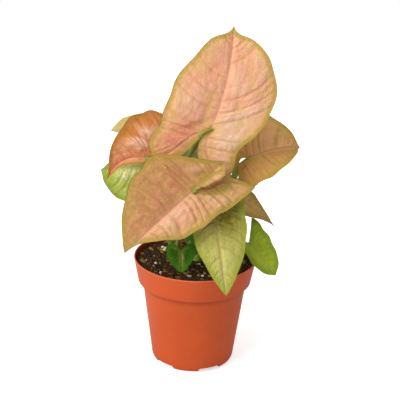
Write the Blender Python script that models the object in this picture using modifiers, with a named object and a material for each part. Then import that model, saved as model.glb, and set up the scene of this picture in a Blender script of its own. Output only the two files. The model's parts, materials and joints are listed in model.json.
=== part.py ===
"""A pink syngonium in a round plastic nursery pot.

The plant is four plantlets in one pot of potting mix. Each plantlet is one node of green stem with
its leaf stalks, and each leaf blade is a node of its own, with a hair of air between blade and stalk.
+Z is up and the origin is the middle of the pot's underside, where the pot stands on the table. The
plant's show side faces -Y.
"""

import math
from collections import namedtuple

import bmesh
import bpy
from mathutils import Vector

MM = 0.001

# Pot, turned about Z. The rim is a deep band that steps in to the tapered body.
POT_HEIGHT = 96.5 * MM
RIM_RADIUS = 53.5 * MM
BAND_DEPTH = 22.0 * MM
BAND_FOOT_RADIUS = 49.4 * MM
BODY_TOP_RADIUS = 45.3 * MM
STEP_DROP = 1.5 * MM
BODY_FOOT_RADIUS = 36.5 * MM
CORNER_HEIGHT = 7.0 * MM
FOOT_RADIUS = 32.5 * MM
LIP_ROUND = 0.4 * MM
WALL = 1.2 * MM
FLOOR = 2.2 * MM
POT_SIDES = 60
DRAIN_COUNT = 5
DRAIN_WIDTH = 21.0 * MM
DRAIN_HEIGHT = 3.8 * MM
DRAIN_INNER_RADIUS = 29.0 * MM
DRAIN_FIRST_ANGLE = math.radians(-62.5)

# Potting mix, clear of the pot all round by the usual gap between pieces.
GAP = 0.3 * MM
SOIL_TOP = 89.0 * MM
SOIL_RINGS = 8
SOIL_BUMP = 1.6 * MM
CLOD_WAVES = (190, 230)
CRUMB_WAVES = (410, 330)

# Each plantlet has a short root stock that stands in a plain hole in the mix.
STOCK_RADII = (4.4 * MM, 3.4 * MM)
STOCK_DEPTH = 26.0 * MM
STOCK_RISE = 7.0 * MM
STOCK_SIDES = 12
FIRST_STALK_SHARE = 0.3
STALK_SHARE_STEP = 0.15
STALK_RADII = (2.3 * MM, 1.9 * MM, 1.5 * MM, 1.3 * MM)
STALK_NECK = 7.0 * MM

# Blades
BLADE_THICKNESS = 0.8 * MM
SECTIONS_ALONG = 16
SECTIONS_ACROSS = 4
RUFFLE_TURN = 18
RUFFLE_SHIFT = 2

# Half outlines from lobe tip to leaf tip. Across is in half widths. Along is in lobe lengths
# behind the stalk and in leaf lengths in front of it. Each margin point belongs with the point
# of the inner line at the same place in its list, as a side vein joins them. The inner line runs
# up the notch between the lobes to the stalk and then along the midrib.
NOTCH_EDGE = [(0.24, -0.60), (0.06, -0.18)]
MIDRIB_FEET = [0.0, 0.15, 0.38, 0.68, 0.88, 1.0]
STALK_KNOT = 3
HEART = [
    (0.66, -1.00), (0.95, -0.66), (1.01, -0.15), (0.98, 0.15), (0.86, 0.38),
    (0.62, 0.62), (0.30, 0.84), (0.07, 0.94), (0.00, 1.00),
]
ARROW = [
    (0.85, -1.00), (1.02, -0.62), (1.00, -0.15), (0.93, 0.12), (0.80, 0.32),
    (0.57, 0.55), (0.28, 0.78), (0.08, 0.93), (0.00, 1.00),
]
SHIELD = [
    (0.50, -1.00), (0.90, -0.80), (1.00, -0.15), (0.99, 0.16), (0.88, 0.40),
    (0.68, 0.62), (0.42, 0.82), (0.18, 0.95), (0.00, 1.00),
]
BROAD = [
    (0.62, -1.00), (0.95, -0.62), (1.03, -0.08), (1.00, 0.26), (0.92, 0.52),
    (0.70, 0.76), (0.38, 0.92), (0.10, 0.97), (0.00, 1.00),
]
TOP_LEFT = [
    (0.74, -0.88), (0.97, -0.52), (0.92, -0.12), (0.92, 0.12), (0.92, 0.33),
    (0.73, 0.58), (0.42, 0.82), (0.10, 0.93), (0.00, 1.00),
]
TOP_RIGHT = [
    (0.66, -0.92), (0.69, -0.56), (0.70, -0.18), (1.00, 0.20), (1.00, 0.50),
    (0.82, 0.73), (0.45, 0.90), (0.10, 0.945), (0.00, 1.00),
]
TOP_NOTCH = ([(0.34, -0.58), (0.12, -0.18)], [(0.02, -0.60), (-0.13, -0.22)])
FRONT_LEFT = [
    (1.03, -1.00), (1.04, -0.66), (0.98, -0.25), (0.92, 0.07), (0.88, 0.26),
    (0.75, 0.45), (0.43, 0.63), (0.10, 0.82), (0.00, 1.00),
]
FRONT_RIGHT = [
    (0.02, -1.00), (0.30, -0.68), (0.75, -0.20), (0.96, 0.09), (0.94, 0.27),
    (0.84, 0.48), (0.55, 0.73), (0.20, 0.92), (0.00, 1.00),
]
FRONT_NOTCH = ([(0.12, -0.60), (0.03, -0.18)], [(-0.36, -0.62), (-0.20, -0.22)])
RIGHT_NOTCH = ([(-0.07, -0.60), (0.05, -0.26)], [(0.16, -0.50), (0.04, -0.28)])
CLOSED_NOTCH = [(0.04, -0.60), (0.01, -0.18)]
FOLDED = [
    (0.80, -1.00), (1.13, -0.60), (1.03, -0.16), (0.80, 0.15), (0.57, 0.38),
    (0.40, 0.61), (0.20, 0.79), (0.06, 0.92), (0.00, 1.00),
]
HEMMED = [
    (0.30, -1.00), (0.60, -0.60), (0.90, -0.15), (1.12, 0.15), (1.08, 0.38),
    (0.72, 0.54), (0.42, 0.70), (0.27, 0.88), (0.00, 1.00),
]
CENTRE = [
    (0.80, -1.00), (1.00, -0.55), (1.00, -0.10), (0.98, 0.15), (0.92, 0.36),
    (0.72, 0.58), (0.42, 0.79), (0.14, 0.94), (0.00, 1.00),
]
LOW_UPPER = [
    (0.92, -1.00), (1.00, -0.78), (0.98, -0.30), (0.90, 0.10), (0.80, 0.34),
    (0.68, 0.58), (0.46, 0.80), (0.16, 0.94), (0.00, 1.00),
]
LOW_LOWER = [
    (0.35, -1.00), (0.60, -0.60), (0.78, -0.10), (0.90, 0.18), (1.00, 0.40),
    (0.97, 0.62), (0.66, 0.82), (0.20, 0.95), (0.00, 1.00),
]
LOW_NOTCH = ([(0.58, -0.62), (0.20, -0.22)], [(0.12, -0.60), (0.04, -0.20)])
TAILED = [
    (0.85, -1.00), (1.02, -0.62), (1.00, -0.15), (0.92, 0.10), (0.78, 0.27),
    (0.54, 0.46), (0.24, 0.66), (0.06, 0.82), (0.00, 1.00),
]

PINK = (0.86, 0.50, 0.36)
SALMON = (0.85, 0.36, 0.22)
PALE_PINK = (0.82, 0.55, 0.36)
OLIVE_PINK = (0.60, 0.38, 0.20)
YELLOW_GREEN = (0.52, 0.54, 0.16)
LEAF_GREEN = (0.30, 0.46, 0.08)
DARK_GREEN = (0.04, 0.20, 0.03)
STALK_GREEN = (0.28, 0.45, 0.08)
TERRACOTTA = (0.70, 0.20, 0.08)
PEAT = (0.045, 0.028, 0.018)

# stalk is where the leaf stalk joins, tip the end of the midrib, both in millimetres, and face the
# way the upper side looks. Pairs are (left, right) as seen on the upper side with the tip ahead.
# In millimetres, width is from midrib to margin, lobe from stalk to lobe tip, sweep how far the
# midrib bows to the right, and ruffle the height of the margin's waves. In degrees, arch bends the
# midrib down along its length, fold lifts each half into a V, curl bends each half on towards its
# margin, droop lets each lobe down behind the stalk, and tuck turns up what crosses the notch. The
# notch holds two points of each half's inner line behind the stalk, which cross over below zero.
Blade = namedtuple(
    "Blade",
    "name color stalk tip face width lobe left right arch fold curl droop sweep notch tuck ruffle",
    defaults=[
        HEART, HEART, 20, (12, 12), (-20, -20), (10, 10), 0, (NOTCH_EDGE, NOTCH_EDGE), (0, 0), 0.8,
    ],
)
BLADES = [
    Blade("blade_top", PINK, (10, 8, 210), (27, 38, 293), (0.05, -1.0, 0.35), (47, 43), (44, 48),
          TOP_LEFT, TOP_RIGHT, fold=(8, 8), curl=(-10, -14), droop=(-15, 6), sweep=4, notch=TOP_NOTCH,
          tuck=(0, -8), ruffle=1.4),
    Blade("blade_front", PINK, (-3, -30, 169), (-58, -62, 124), (0.1, -0.8, 0.6), (32, 46), (42, 38),
          FRONT_LEFT, FRONT_RIGHT, fold=(8, 8), curl=(-10, -14), droop=(0, 0), notch=FRONT_NOTCH,
          tuck=(0, 55), ruffle=1.6),
    Blade("blade_right", OLIVE_PINK, (43, 24, 180), (90, 45, 184), (0.15, -0.6, 0.8), (42, 26), (24, 16),
          BROAD, HEART, arch=60, fold=(5, 5), curl=(-10, -20), notch=RIGHT_NOTCH, tuck=(-30, 0)),
    Blade("blade_left", SALMON, (-42, 17, 179), (-77, -1, 166), (0.0, -0.7, 0.7), (20, 42), (8, 32),
          HEMMED, FOLDED, arch=24, fold=(52, 40), curl=(-10, -40), sweep=8),
    Blade("blade_left_pale", PALE_PINK, (-40, 56, 193), (-78, 50, 192), (0.1, -0.5, 0.85), (14, 18),
          (20, 20), HEART, SHIELD, arch=40),
    Blade("blade_left_green", LEAF_GREEN, (-42, 34, 166), (-86, 34, 162), (0.0, -0.95, 0.3), (33, 15),
          (24, 14), BROAD, HEART),
    Blade("blade_centre", YELLOW_GREEN, (15, -28, 152), (27, -64, 89), (0.1, -0.9, 0.45), (26, 22),
          (14, 12), CENTRE, CENTRE, arch=16, fold=(6, 6)),
    Blade("blade_low_right", LEAF_GREEN, (46, -12, 115), (70, -22, 90), (0.3, -0.8, 0.6), (20, 11),
          (15, 6), LOW_UPPER, LOW_LOWER, fold=(10, 15), curl=(-10, -10), notch=LOW_NOTCH),
    Blade("blade_small_pink", PALE_PINK, (38, 8, 147), (71, 6, 122), (0.2, -0.6, 0.8), (14, 14),
          (12, 12), TAILED, TAILED),
    Blade("blade_young", DARK_GREEN, (-12, -22, 111), (-11, -40, 98), (0.0, -0.7, 0.7), (12, 13),
          (7, 7), SHIELD, SHIELD, ruffle=0.3),
    Blade("blade_young_behind", DARK_GREEN, (-1, -11, 127), (1, -21, 114), (0.0, -0.7, 0.7), (8, 8),
          (6, 6), SHIELD, SHIELD, ruffle=0.3),
    Blade("blade_back_left", LEAF_GREEN, (-5, 50, 186), (-7, 72, 142), (0.0, 0.9, 0.45), (14, 14),
          (14, 14), arch=36, notch=(CLOSED_NOTCH, CLOSED_NOTCH)),
    Blade("blade_back_right", PALE_PINK, (28, 48, 150), (44, 90, 128), (0.1, 0.5, 0.85), (24, 24),
          (18, 18), ARROW, ARROW, arch=36),
]

# Each leaf stalk rises from the root stock through one point, in millimetres, to its blade.
Plantlet = namedtuple("Plantlet", "name foot stalks")
PLANTLETS = [
    Plantlet("stems_centre", (2, 6), {
        "blade_top": (-9, 14, 176), "blade_front": (-17, -8, 140), "blade_right": (25, 18, 152),
    }),
    Plantlet("stems_left", (-18, 12), {
        "blade_left": (-37, 14, 145), "blade_left_pale": (-34, 54, 155), "blade_left_green": (-38, 38, 138),
        "blade_back_left": (-8, 36, 140),
    }),
    Plantlet("stems_right", (18, -4), {
        "blade_centre": (20, -12, 130), "blade_low_right": (36, -6, 108), "blade_small_pink": (32, 6, 126),
        "blade_back_right": (26, 36, 124),
    }),
    Plantlet("stems_young", (-9, -14), {
        "blade_young": (-10, -15, 103), "blade_young_behind": (-5, -9, 110),
    }),
]


def spline(points, along):
    """The point that far along a smooth curve through these points, with along from 0 to 1."""
    last = len(points) - 1
    place = min(max(along, 0.0), 1.0) * last
    here = min(int(place), last - 1)
    part = place - here
    run = [points[min(max(here + step, 0), last)] for step in (-1, 0, 1, 2)]
    return tuple(
        b + part * ((c - a) / 2 + part * (a - 2.5 * b + 2 * c - d / 2 + part * (1.5 * (b - c) + (d - a) / 2)))
        for a, b, c, d in zip(*run)
    )


def flat_point(blade, side, along, across):
    """A point of the blade pressed flat: x out from the midrib and y on from the stalk, in millimetres."""
    margin = blade.left if side == 0 else blade.right
    stalk = STALK_KNOT / (len(margin) - 1)
    if along < stalk:
        inner = spline([margin[0], *blade.notch[side], (0.0, 0.0)], along / stalk)
    else:
        inner = spline([(0.0, foot) for foot in MIDRIB_FEET], (along - stalk) / (1 - stalk))
    x, y = (i + (o - i) * across for i, o in zip(inner, spline(margin, along)))
    length = (Vector(blade.tip) - Vector(blade.stalk)).length
    return x * blade.width[side], y * (length if y > 0 else blade.lobe[side])


def sinc(angle):
    return math.sin(angle) / angle if abs(angle) > 1e-6 else 1.0


def blade_axes(blade):
    """The blade's own directions: rightward, ahead to the tip, and upward out of the upper side."""
    ahead = (Vector(blade.tip) - Vector(blade.stalk)).normalized()
    rightward = ahead.cross(Vector(blade.face)).normalized()
    return rightward, ahead, rightward.cross(ahead)


def seat_normal(blade):
    """The way the upper side looks where the leaf stalk joins, with the arch counted in."""
    ahead, upward = blade_axes(blade)[1:]
    tilt = math.radians(blade.arch) / 2
    return upward * math.cos(tilt) - ahead * math.sin(tilt)


def blade_point(blade, side, along, across):
    """The same point on the bent blade, in metres. Side 0 is the left half and side 1 the right."""
    x, y = flat_point(blade, side, along, across)
    stalk = Vector(blade.stalk)
    rightward, ahead, upward = blade_axes(blade)
    share = y / (Vector(blade.tip) - stalk).length

    # The midrib is an arc from stalk to tip. Behind the stalk each lobe bends on by its droop.
    arch = math.radians(blade.arch)
    if share > 0:
        turn = arch * share
        reach = y * sinc(turn / 2) / sinc(arch / 2)
    else:
        turn = math.radians(blade.droop[side]) * y / blade.lobe[side]
        reach = y * sinc(turn / 2)
    rib = Vector((0.0, math.cos((arch - turn) / 2), math.sin((arch - turn) / 2))) * reach
    tilt = arch / 2 - turn
    normal = Vector((0.0, -math.sin(tilt), math.cos(tilt)))

    # Across the midrib each half leaves at its fold angle and bends on by its curl.
    if x > 0:
        lift = math.radians(blade.fold[side] + blade.curl[side] * x / blade.width[side] / 2)
    else:
        lift = math.radians(180 - blade.tuck[side])
    out = abs(x) * math.cos(lift) * (1 if side else -1)
    wave = math.sin(math.pi * along) * math.sin(RUFFLE_TURN * along + RUFFLE_SHIFT * side) * across**2
    rise = abs(x) * math.sin(lift) + blade.ruffle * wave
    local = rib + normal * rise
    local.x = out + 4 * blade.sweep * share * (1 - abs(share))
    return (stalk + rightward * local.x + ahead * local.y + upward * local.z) * MM


def new_material(name, color, roughness):
    material = bpy.data.materials.new(name)
    material.use_nodes = True
    shader = material.node_tree.nodes["Principled BSDF"]
    shader.inputs["Base Color"].default_value = (*color, 1.0)
    shader.inputs["Roughness"].default_value = roughness
    return material


def add_object(name, mesh, collection, material=None):
    part = bpy.data.objects.new(name, mesh)
    collection.objects.link(part)
    if material:
        part.data.materials.append(material)
    return part


def add_cutter(name, mesh, cutters):
    cutter = add_object(name, mesh, cutters)
    cutter.hide_render = True
    cutter.display_type = "WIRE"
    return cutter


def combine(part, operation, others):
    """A Boolean of the part with every object of a collection."""
    join = part.modifiers.new(operation.lower(), "BOOLEAN")
    join.operation = operation
    join.operand_type = "COLLECTION"
    join.collection = others
    join.solver = "EXACT"


def turned(name, profile, sides, collection, material):
    """A solid turned about Z from (radius, height) points that run down its outer side."""
    bm = bmesh.new()
    verts = [bm.verts.new((radius, 0.0, height)) for radius, height in profile]
    for start, end in zip(verts, verts[1:]):
        bm.edges.new((start, end))
    mesh = bpy.data.meshes.new(name)
    bm.to_mesh(mesh)
    bm.free()
    part = add_object(name, mesh, collection, material)
    screw = part.modifiers.new("turn", "SCREW")
    screw.steps = sides
    screw.render_steps = sides
    screw.use_merge_vertices = True
    screw.merge_threshold = 0.01 * MM
    return part


def body_line(height):
    """The radius of the pot's tapered body at a height."""
    top = POT_HEIGHT - BAND_DEPTH - STEP_DROP
    part = (height - CORNER_HEIGHT) / (top - CORNER_HEIGHT)
    return BODY_FOOT_RADIUS + (BODY_TOP_RADIUS - BODY_FOOT_RADIUS) * part


def band_line(height):
    """The radius of the rim band at a height."""
    return RIM_RADIUS - (RIM_RADIUS - BAND_FOOT_RADIUS) * (POT_HEIGHT - height) / BAND_DEPTH


def pot_lining(inset, top, bottom):
    """The pot's inner line from a height down to the floor, drawn in by a gap."""
    step = POT_HEIGHT - BAND_DEPTH
    wall = WALL + inset
    return [
        (band_line(top) - wall, top),
        (band_line(step + WALL) - wall, step + WALL + inset / 2),
        (body_line(step - STEP_DROP) - wall, step - STEP_DROP + WALL + inset / 2),
        (body_line(CORNER_HEIGHT) - wall, CORNER_HEIGHT),
        (FOOT_RADIUS - inset, bottom),
        (0.0, bottom),
    ]


def make_pot(collection, cutters):
    """The plastic pot: a turned shell with drain notches round the foot."""
    step = POT_HEIGHT - BAND_DEPTH
    lining = pot_lining(0.0, POT_HEIGHT - LIP_ROUND, FLOOR)
    corner = [
        (FOOT_RADIUS + (BODY_FOOT_RADIUS - FOOT_RADIUS) * math.cos(turn), CORNER_HEIGHT * (1 - math.sin(turn)))
        for turn in (math.radians(angle) for angle in (0, 30, 60, 90))
    ]
    profile = [
        *reversed(lining),
        (RIM_RADIUS - WALL + LIP_ROUND, POT_HEIGHT),
        (RIM_RADIUS - LIP_ROUND, POT_HEIGHT),
        (RIM_RADIUS, POT_HEIGHT - LIP_ROUND),
        (BAND_FOOT_RADIUS, step),
        (body_line(step - STEP_DROP), step - STEP_DROP),
        *corner,
        (0.0, 0.0),
    ]
    pot = turned("pot", profile, POT_SIDES, collection, new_material("pot", TERRACOTTA, 0.42))
    notches = bpy.data.collections.new("drain_notches")
    cutters.children.link(notches)
    reach = 2 * (BODY_FOOT_RADIUS - DRAIN_INNER_RADIUS)
    for index in range(DRAIN_COUNT):
        bm = bmesh.new()
        bmesh.ops.create_cube(bm, size=1.0)
        bmesh.ops.scale(bm, vec=(reach, DRAIN_WIDTH, 2 * DRAIN_HEIGHT), verts=bm.verts)
        mesh = bpy.data.meshes.new("drain_notch")
        bm.to_mesh(mesh)
        bm.free()
        cutter = add_cutter(f"drain_notch_{index + 1}", mesh, notches)
        angle = DRAIN_FIRST_ANGLE + index * math.tau / DRAIN_COUNT
        middle = DRAIN_INNER_RADIUS + reach / 2
        cutter.location = (middle * math.cos(angle), middle * math.sin(angle), 0.0)
        cutter.rotation_euler = (0.0, 0.0, angle)
    combine(pot, "DIFFERENCE", notches)


def soil_height(x, y, edge):
    """How far the mix stands above the level of its edge: a low mound with clods."""
    clods = math.sin(CLOD_WAVES[0] * x + 2) * math.sin(CLOD_WAVES[1] * y + 1)
    crumbs = math.sin(CRUMB_WAVES[0] * x - CRUMB_WAVES[1] * y)
    return SOIL_BUMP * (0.5 + 0.6 * clods + 0.36 * crumbs) * (1 - (math.hypot(x, y) / edge) ** 4)


def make_soil(collection, cutters):
    """The potting mix, a solid that fills the pot, with a hole for each root stock."""
    lining = pot_lining(GAP, SOIL_TOP, FLOOR + GAP)
    edge = lining[0][0]
    surface = [(edge * ring / SOIL_RINGS, SOIL_TOP) for ring in range(SOIL_RINGS)]
    soil = turned("soil", surface + lining, POT_SIDES, collection, new_material("soil", PEAT, 0.95))
    solid = bpy.data.meshes.new_from_object(soil.evaluated_get(bpy.context.evaluated_depsgraph_get()))
    for vert in solid.vertices:
        if vert.co.z > SOIL_TOP - 0.1 * MM:
            vert.co.z += soil_height(vert.co.x, vert.co.y, edge)
    soil.modifiers.clear()
    soil.data = solid
    holes = bpy.data.collections.new("stock_holes")
    cutters.children.link(holes)
    for plantlet in PLANTLETS:
        add_cutter(f"hole_{plantlet.name}", stock_mesh(plantlet, GAP), holes)
    combine(soil, "DIFFERENCE", holes)


def stock_mesh(plantlet, grow):
    """A plantlet's root stock, a tapered plug, grown all round for its hole."""
    bm = bmesh.new()
    foot, head = STOCK_RADII
    tall = STOCK_DEPTH + STOCK_RISE + 2 * grow
    bmesh.ops.create_cone(
        bm, cap_ends=True, segments=STOCK_SIDES, radius1=foot + grow, radius2=head + grow, depth=tall
    )
    x, y = plantlet.foot
    middle = SOIL_TOP + (STOCK_RISE - STOCK_DEPTH) / 2
    bmesh.ops.translate(bm, verts=bm.verts, vec=(x * MM, y * MM, middle))
    mesh = bpy.data.meshes.new("stock")
    bm.to_mesh(mesh)
    bm.free()
    return mesh


def stalk_mesh(plantlet, blade, start):
    """One leaf stalk: a tapered tube from inside the root stock to just under its blade."""
    upward = seat_normal(blade)
    top = Vector(blade.stalk) * MM
    under = BLADE_THICKNESS + GAP
    route = [
        Vector((plantlet.foot[0] * MM, plantlet.foot[1] * MM, start)),
        Vector(plantlet.stalks[blade.name]) * MM,
        top - upward * (under + STALK_NECK),
        top - upward * under,
    ]
    curve = bpy.data.curves.new("stalk", "CURVE")
    curve.dimensions = "3D"
    curve.bevel_depth = 1.0
    curve.bevel_resolution = 2
    curve.resolution_u = 4
    curve.use_fill_caps = True
    knots = curve.splines.new("BEZIER").bezier_points
    knots.add(len(route) - 1)
    for knot, place, radius in zip(knots, route, STALK_RADII):
        knot.co = place
        knot.radius = radius
        knot.handle_left_type = "AUTO"
        knot.handle_right_type = "AUTO"
    holder = add_object("stalk", curve, bpy.context.scene.collection)
    mesh = bpy.data.meshes.new_from_object(holder.evaluated_get(bpy.context.evaluated_depsgraph_get()))
    bpy.data.objects.remove(holder)
    bm = bmesh.new()
    bm.from_mesh(mesh)
    bmesh.ops.remove_doubles(bm, verts=bm.verts, dist=0.001 * MM)
    bm.to_mesh(mesh)
    bm.free()
    return mesh


def make_stems(plantlet, collection, cutters):
    """A plantlet's root stock and leaf stalks, joined in one body."""
    stems = add_object(
        plantlet.name, stock_mesh(plantlet, 0.0), collection, new_material(plantlet.name, STALK_GREEN, 0.4)
    )
    stalks = bpy.data.collections.new(f"stalks_{plantlet.name}")
    cutters.children.link(stalks)
    blades = [blade for blade in BLADES if blade.name in plantlet.stalks]
    for index, blade in enumerate(blades):
        start = SOIL_TOP + STOCK_RISE * (FIRST_STALK_SHARE + STALK_SHARE_STEP * index)
        add_cutter(f"stalk_{blade.name}", stalk_mesh(plantlet, blade, start), stalks)
    combine(stems, "UNION", stalks)


def make_blade(blade, collection):
    """One leaf blade: a grid for each half, laid on the bent leaf, welded at the midrib and thickened."""
    bm = bmesh.new()
    for side in (0, 1):
        made = bmesh.ops.create_grid(
            bm, x_segments=SECTIONS_ALONG, y_segments=SECTIONS_ACROSS, size=0.5
        )
        for vert in made["verts"]:
            vert.co = blade_point(blade, side, vert.co.x + 0.5, vert.co.y + 0.5)
        if side == 1:
            faces = {face for vert in made["verts"] for face in vert.link_faces}
            bmesh.ops.reverse_faces(bm, faces=list(faces))
    bmesh.ops.remove_doubles(bm, verts=bm.verts, dist=0.02 * MM)
    bmesh.ops.triangulate(bm, faces=bm.faces)
    mesh = bpy.data.meshes.new(blade.name)
    bm.to_mesh(mesh)
    bm.free()
    mesh.shade_smooth()
    part = add_object(blade.name, mesh, collection, new_material(blade.name, blade.color, 0.45))
    shell = part.modifiers.new("thickness", "SOLIDIFY")
    shell.thickness = BLADE_THICKNESS
    shell.offset = -1.0


def main():
    for old in list(bpy.data.objects):
        bpy.data.objects.remove(old)
    plant = bpy.data.collections.new("potted_syngonium")
    cutters = bpy.data.collections.new("cutters")
    bpy.context.scene.collection.children.link(plant)
    bpy.context.scene.collection.children.link(cutters)
    make_pot(plant, cutters)
    make_soil(plant, cutters)
    for plantlet in PLANTLETS:
        make_stems(plantlet, plant, cutters)
    for blade in BLADES:
        make_blade(blade, plant)


main()
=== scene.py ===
"""The looks of a potted pink arrowhead plant, laid out as a Blender add-on.

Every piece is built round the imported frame: the nursery pot, the potting mix with its loose bits, four
plantlets of leaf stalks, and thirteen leaves. A leaf is drawn flat as two halves, whose rows follow the side
veins. Then it is bent and folded into place, and given the pillows between its veins and a thin edge.
"""

import json
from collections import namedtuple
from math import cos, pi, radians, sin, tau

import bmesh
import bpy
import numpy as np
from bpy.props import FloatProperty, FloatVectorProperty, IntProperty, PointerProperty
from mathutils import Matrix, Vector, noise

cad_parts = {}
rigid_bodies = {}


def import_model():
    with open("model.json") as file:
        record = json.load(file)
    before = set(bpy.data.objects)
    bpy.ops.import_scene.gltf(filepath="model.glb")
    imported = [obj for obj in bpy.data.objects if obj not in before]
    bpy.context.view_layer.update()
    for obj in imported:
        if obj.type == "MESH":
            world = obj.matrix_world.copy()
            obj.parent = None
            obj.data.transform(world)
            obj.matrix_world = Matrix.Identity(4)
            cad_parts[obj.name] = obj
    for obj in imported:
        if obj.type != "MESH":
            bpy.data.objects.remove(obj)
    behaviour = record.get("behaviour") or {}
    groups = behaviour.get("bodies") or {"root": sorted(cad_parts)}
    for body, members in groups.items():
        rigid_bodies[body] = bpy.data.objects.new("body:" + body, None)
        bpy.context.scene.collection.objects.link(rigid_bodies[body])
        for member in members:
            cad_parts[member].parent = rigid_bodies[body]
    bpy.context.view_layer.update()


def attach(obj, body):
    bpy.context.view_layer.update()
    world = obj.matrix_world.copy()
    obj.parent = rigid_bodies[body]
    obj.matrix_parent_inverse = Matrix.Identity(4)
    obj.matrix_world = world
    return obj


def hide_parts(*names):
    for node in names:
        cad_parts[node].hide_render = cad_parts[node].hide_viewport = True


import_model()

bl_info = {
    "name": "Potted Arrowhead Plant",
    "version": (1, 0, 0),
    "blender": (4, 5, 0),
    "location": "3D View > Sidebar > Plant",
    "description": "Builds a pink arrowhead plant in its nursery pot",
    "category": "Add Mesh",
}

MM = 0.001
BODY = "root"

# The pot, in mm
POT_HEIGHT = 96.5
RIM_RADIUS = 53.5
BAND_DEPTH = 22.0
BAND_FOOT_RADIUS = 49.4
BODY_TOP_RADIUS = 45.3
STEP_DROP = 1.5
BODY_FOOT_RADIUS = 36.5
CORNER_HEIGHT = 7.0
FOOT_RADIUS = 32.5
WALL = 1.2
FLOOR = 2.2
DRAIN_COUNT = 5
DRAIN_WIDTH = 21.0
DRAIN_HEIGHT = 3.8
DRAIN_INNER_RADIUS = 29.0
DRAIN_FIRST_ANGLE = radians(-62.5)

# The potting mix, in mm
SOIL_TOP = 89.0
SOIL_EDGE = 50.6
SOIL_BANK = 2.6
GAP = 0.3

# The stems, in mm
STOCK_RADII = (4.4, 3.4)
STOCK_RISE = 7.0
STALK_RADII = (2.3, 1.9, 1.5, 1.3)
STALK_NECK = 7.0

# Outlines of a half leaf: across as a share of the half width, and along from the back of the lobe (-1)
# past the stalk (0) to the tip (1)
NOTCH_EDGE = [(0.24, -0.60), (0.06, -0.18)]
MIDRIB_FEET = [0.0, 0.15, 0.38, 0.68, 0.88, 1.0]
STALK_KNOT = 3
OUTLINE_STEPS = 8
HEART = [
    (0.66, -1.00), (0.95, -0.66), (1.01, -0.15), (0.98, 0.15), (0.86, 0.38),
    (0.62, 0.62), (0.30, 0.84), (0.07, 0.94), (0.00, 1.00),
]
ARROW = [
    (0.85, -1.00), (1.02, -0.62), (1.00, -0.15), (0.93, 0.12), (0.80, 0.32),
    (0.57, 0.55), (0.28, 0.78), (0.08, 0.93), (0.00, 1.00),
]
SHIELD = [
    (0.50, -1.00), (0.90, -0.80), (1.00, -0.15), (0.99, 0.16), (0.88, 0.40),
    (0.68, 0.62), (0.42, 0.82), (0.18, 0.95), (0.00, 1.00),
]
BROAD = [
    (0.62, -1.00), (0.95, -0.62), (1.03, -0.08), (1.00, 0.26), (0.92, 0.52),
    (0.70, 0.76), (0.38, 0.92), (0.10, 0.97), (0.00, 1.00),
]
TOP_LEFT = [
    (0.74, -0.88), (0.97, -0.52), (0.92, -0.12), (0.92, 0.12), (0.92, 0.33),
    (0.73, 0.58), (0.42, 0.82), (0.10, 0.93), (0.00, 1.00),
]
TOP_RIGHT = [
    (0.66, -0.92), (0.69, -0.56), (0.70, -0.18), (1.00, 0.20), (1.00, 0.50),
    (0.82, 0.73), (0.45, 0.90), (0.10, 0.945), (0.00, 1.00),
]
TOP_NOTCH = ([(0.34, -0.58), (0.12, -0.18)], [(0.02, -0.60), (-0.13, -0.22)])
FRONT_LEFT = [
    (1.03, -1.00), (1.04, -0.66), (0.98, -0.25), (0.92, 0.07), (0.88, 0.26),
    (0.75, 0.45), (0.43, 0.63), (0.10, 0.82), (0.00, 1.00),
]
FRONT_RIGHT = [
    (0.02, -1.00), (0.30, -0.68), (0.75, -0.20), (0.96, 0.09), (0.94, 0.27),
    (0.84, 0.48), (0.55, 0.73), (0.20, 0.92), (0.00, 1.00),
]
FRONT_NOTCH = ([(0.12, -0.60), (0.03, -0.18)], [(-0.36, -0.62), (-0.20, -0.22)])
RIGHT_NOTCH = ([(-0.20, -0.72), (0.04, -0.26)], [(0.11, -0.62), (0.05, -0.32)])
CLOSED_NOTCH = [(0.04, -0.60), (0.01, -0.18)]
FOLDED = [
    (0.80, -1.00), (1.13, -0.60), (1.03, -0.16), (0.80, 0.15), (0.57, 0.38),
    (0.40, 0.61), (0.20, 0.79), (0.06, 0.92), (0.00, 1.00),
]
HEMMED = [
    (0.30, -1.00), (0.60, -0.60), (0.90, -0.15), (1.12, 0.15), (1.08, 0.38),
    (0.72, 0.54), (0.42, 0.70), (0.27, 0.88), (0.00, 1.00),
]
CENTRE = [
    (0.80, -1.00), (1.00, -0.55), (1.00, -0.10), (0.98, 0.15), (0.92, 0.36),
    (0.72, 0.58), (0.42, 0.79), (0.14, 0.94), (0.00, 1.00),
]
LOW_UPPER = [
    (0.92, -1.00), (1.00, -0.78), (0.98, -0.30), (0.90, 0.10), (0.80, 0.34),
    (0.68, 0.58), (0.46, 0.80), (0.16, 0.94), (0.00, 1.00),
]
LOW_LOWER = [
    (0.35, -1.00), (0.60, -0.60), (0.78, -0.10), (0.90, 0.18), (1.00, 0.40),
    (0.97, 0.62), (0.66, 0.82), (0.20, 0.95), (0.00, 1.00),
]
LOW_NOTCH = ([(0.58, -0.62), (0.20, -0.22)], [(0.12, -0.60), (0.04, -0.20)])
TAILED = [
    (0.85, -1.00), (1.02, -0.62), (1.00, -0.15), (0.92, 0.10), (0.78, 0.27),
    (0.54, 0.46), (0.24, 0.66), (0.06, 0.82), (0.00, 1.00),
]

# The floor, in metres
FLOOR_RADIUS = 1.2
FLOOR_SIDES = 96

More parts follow.
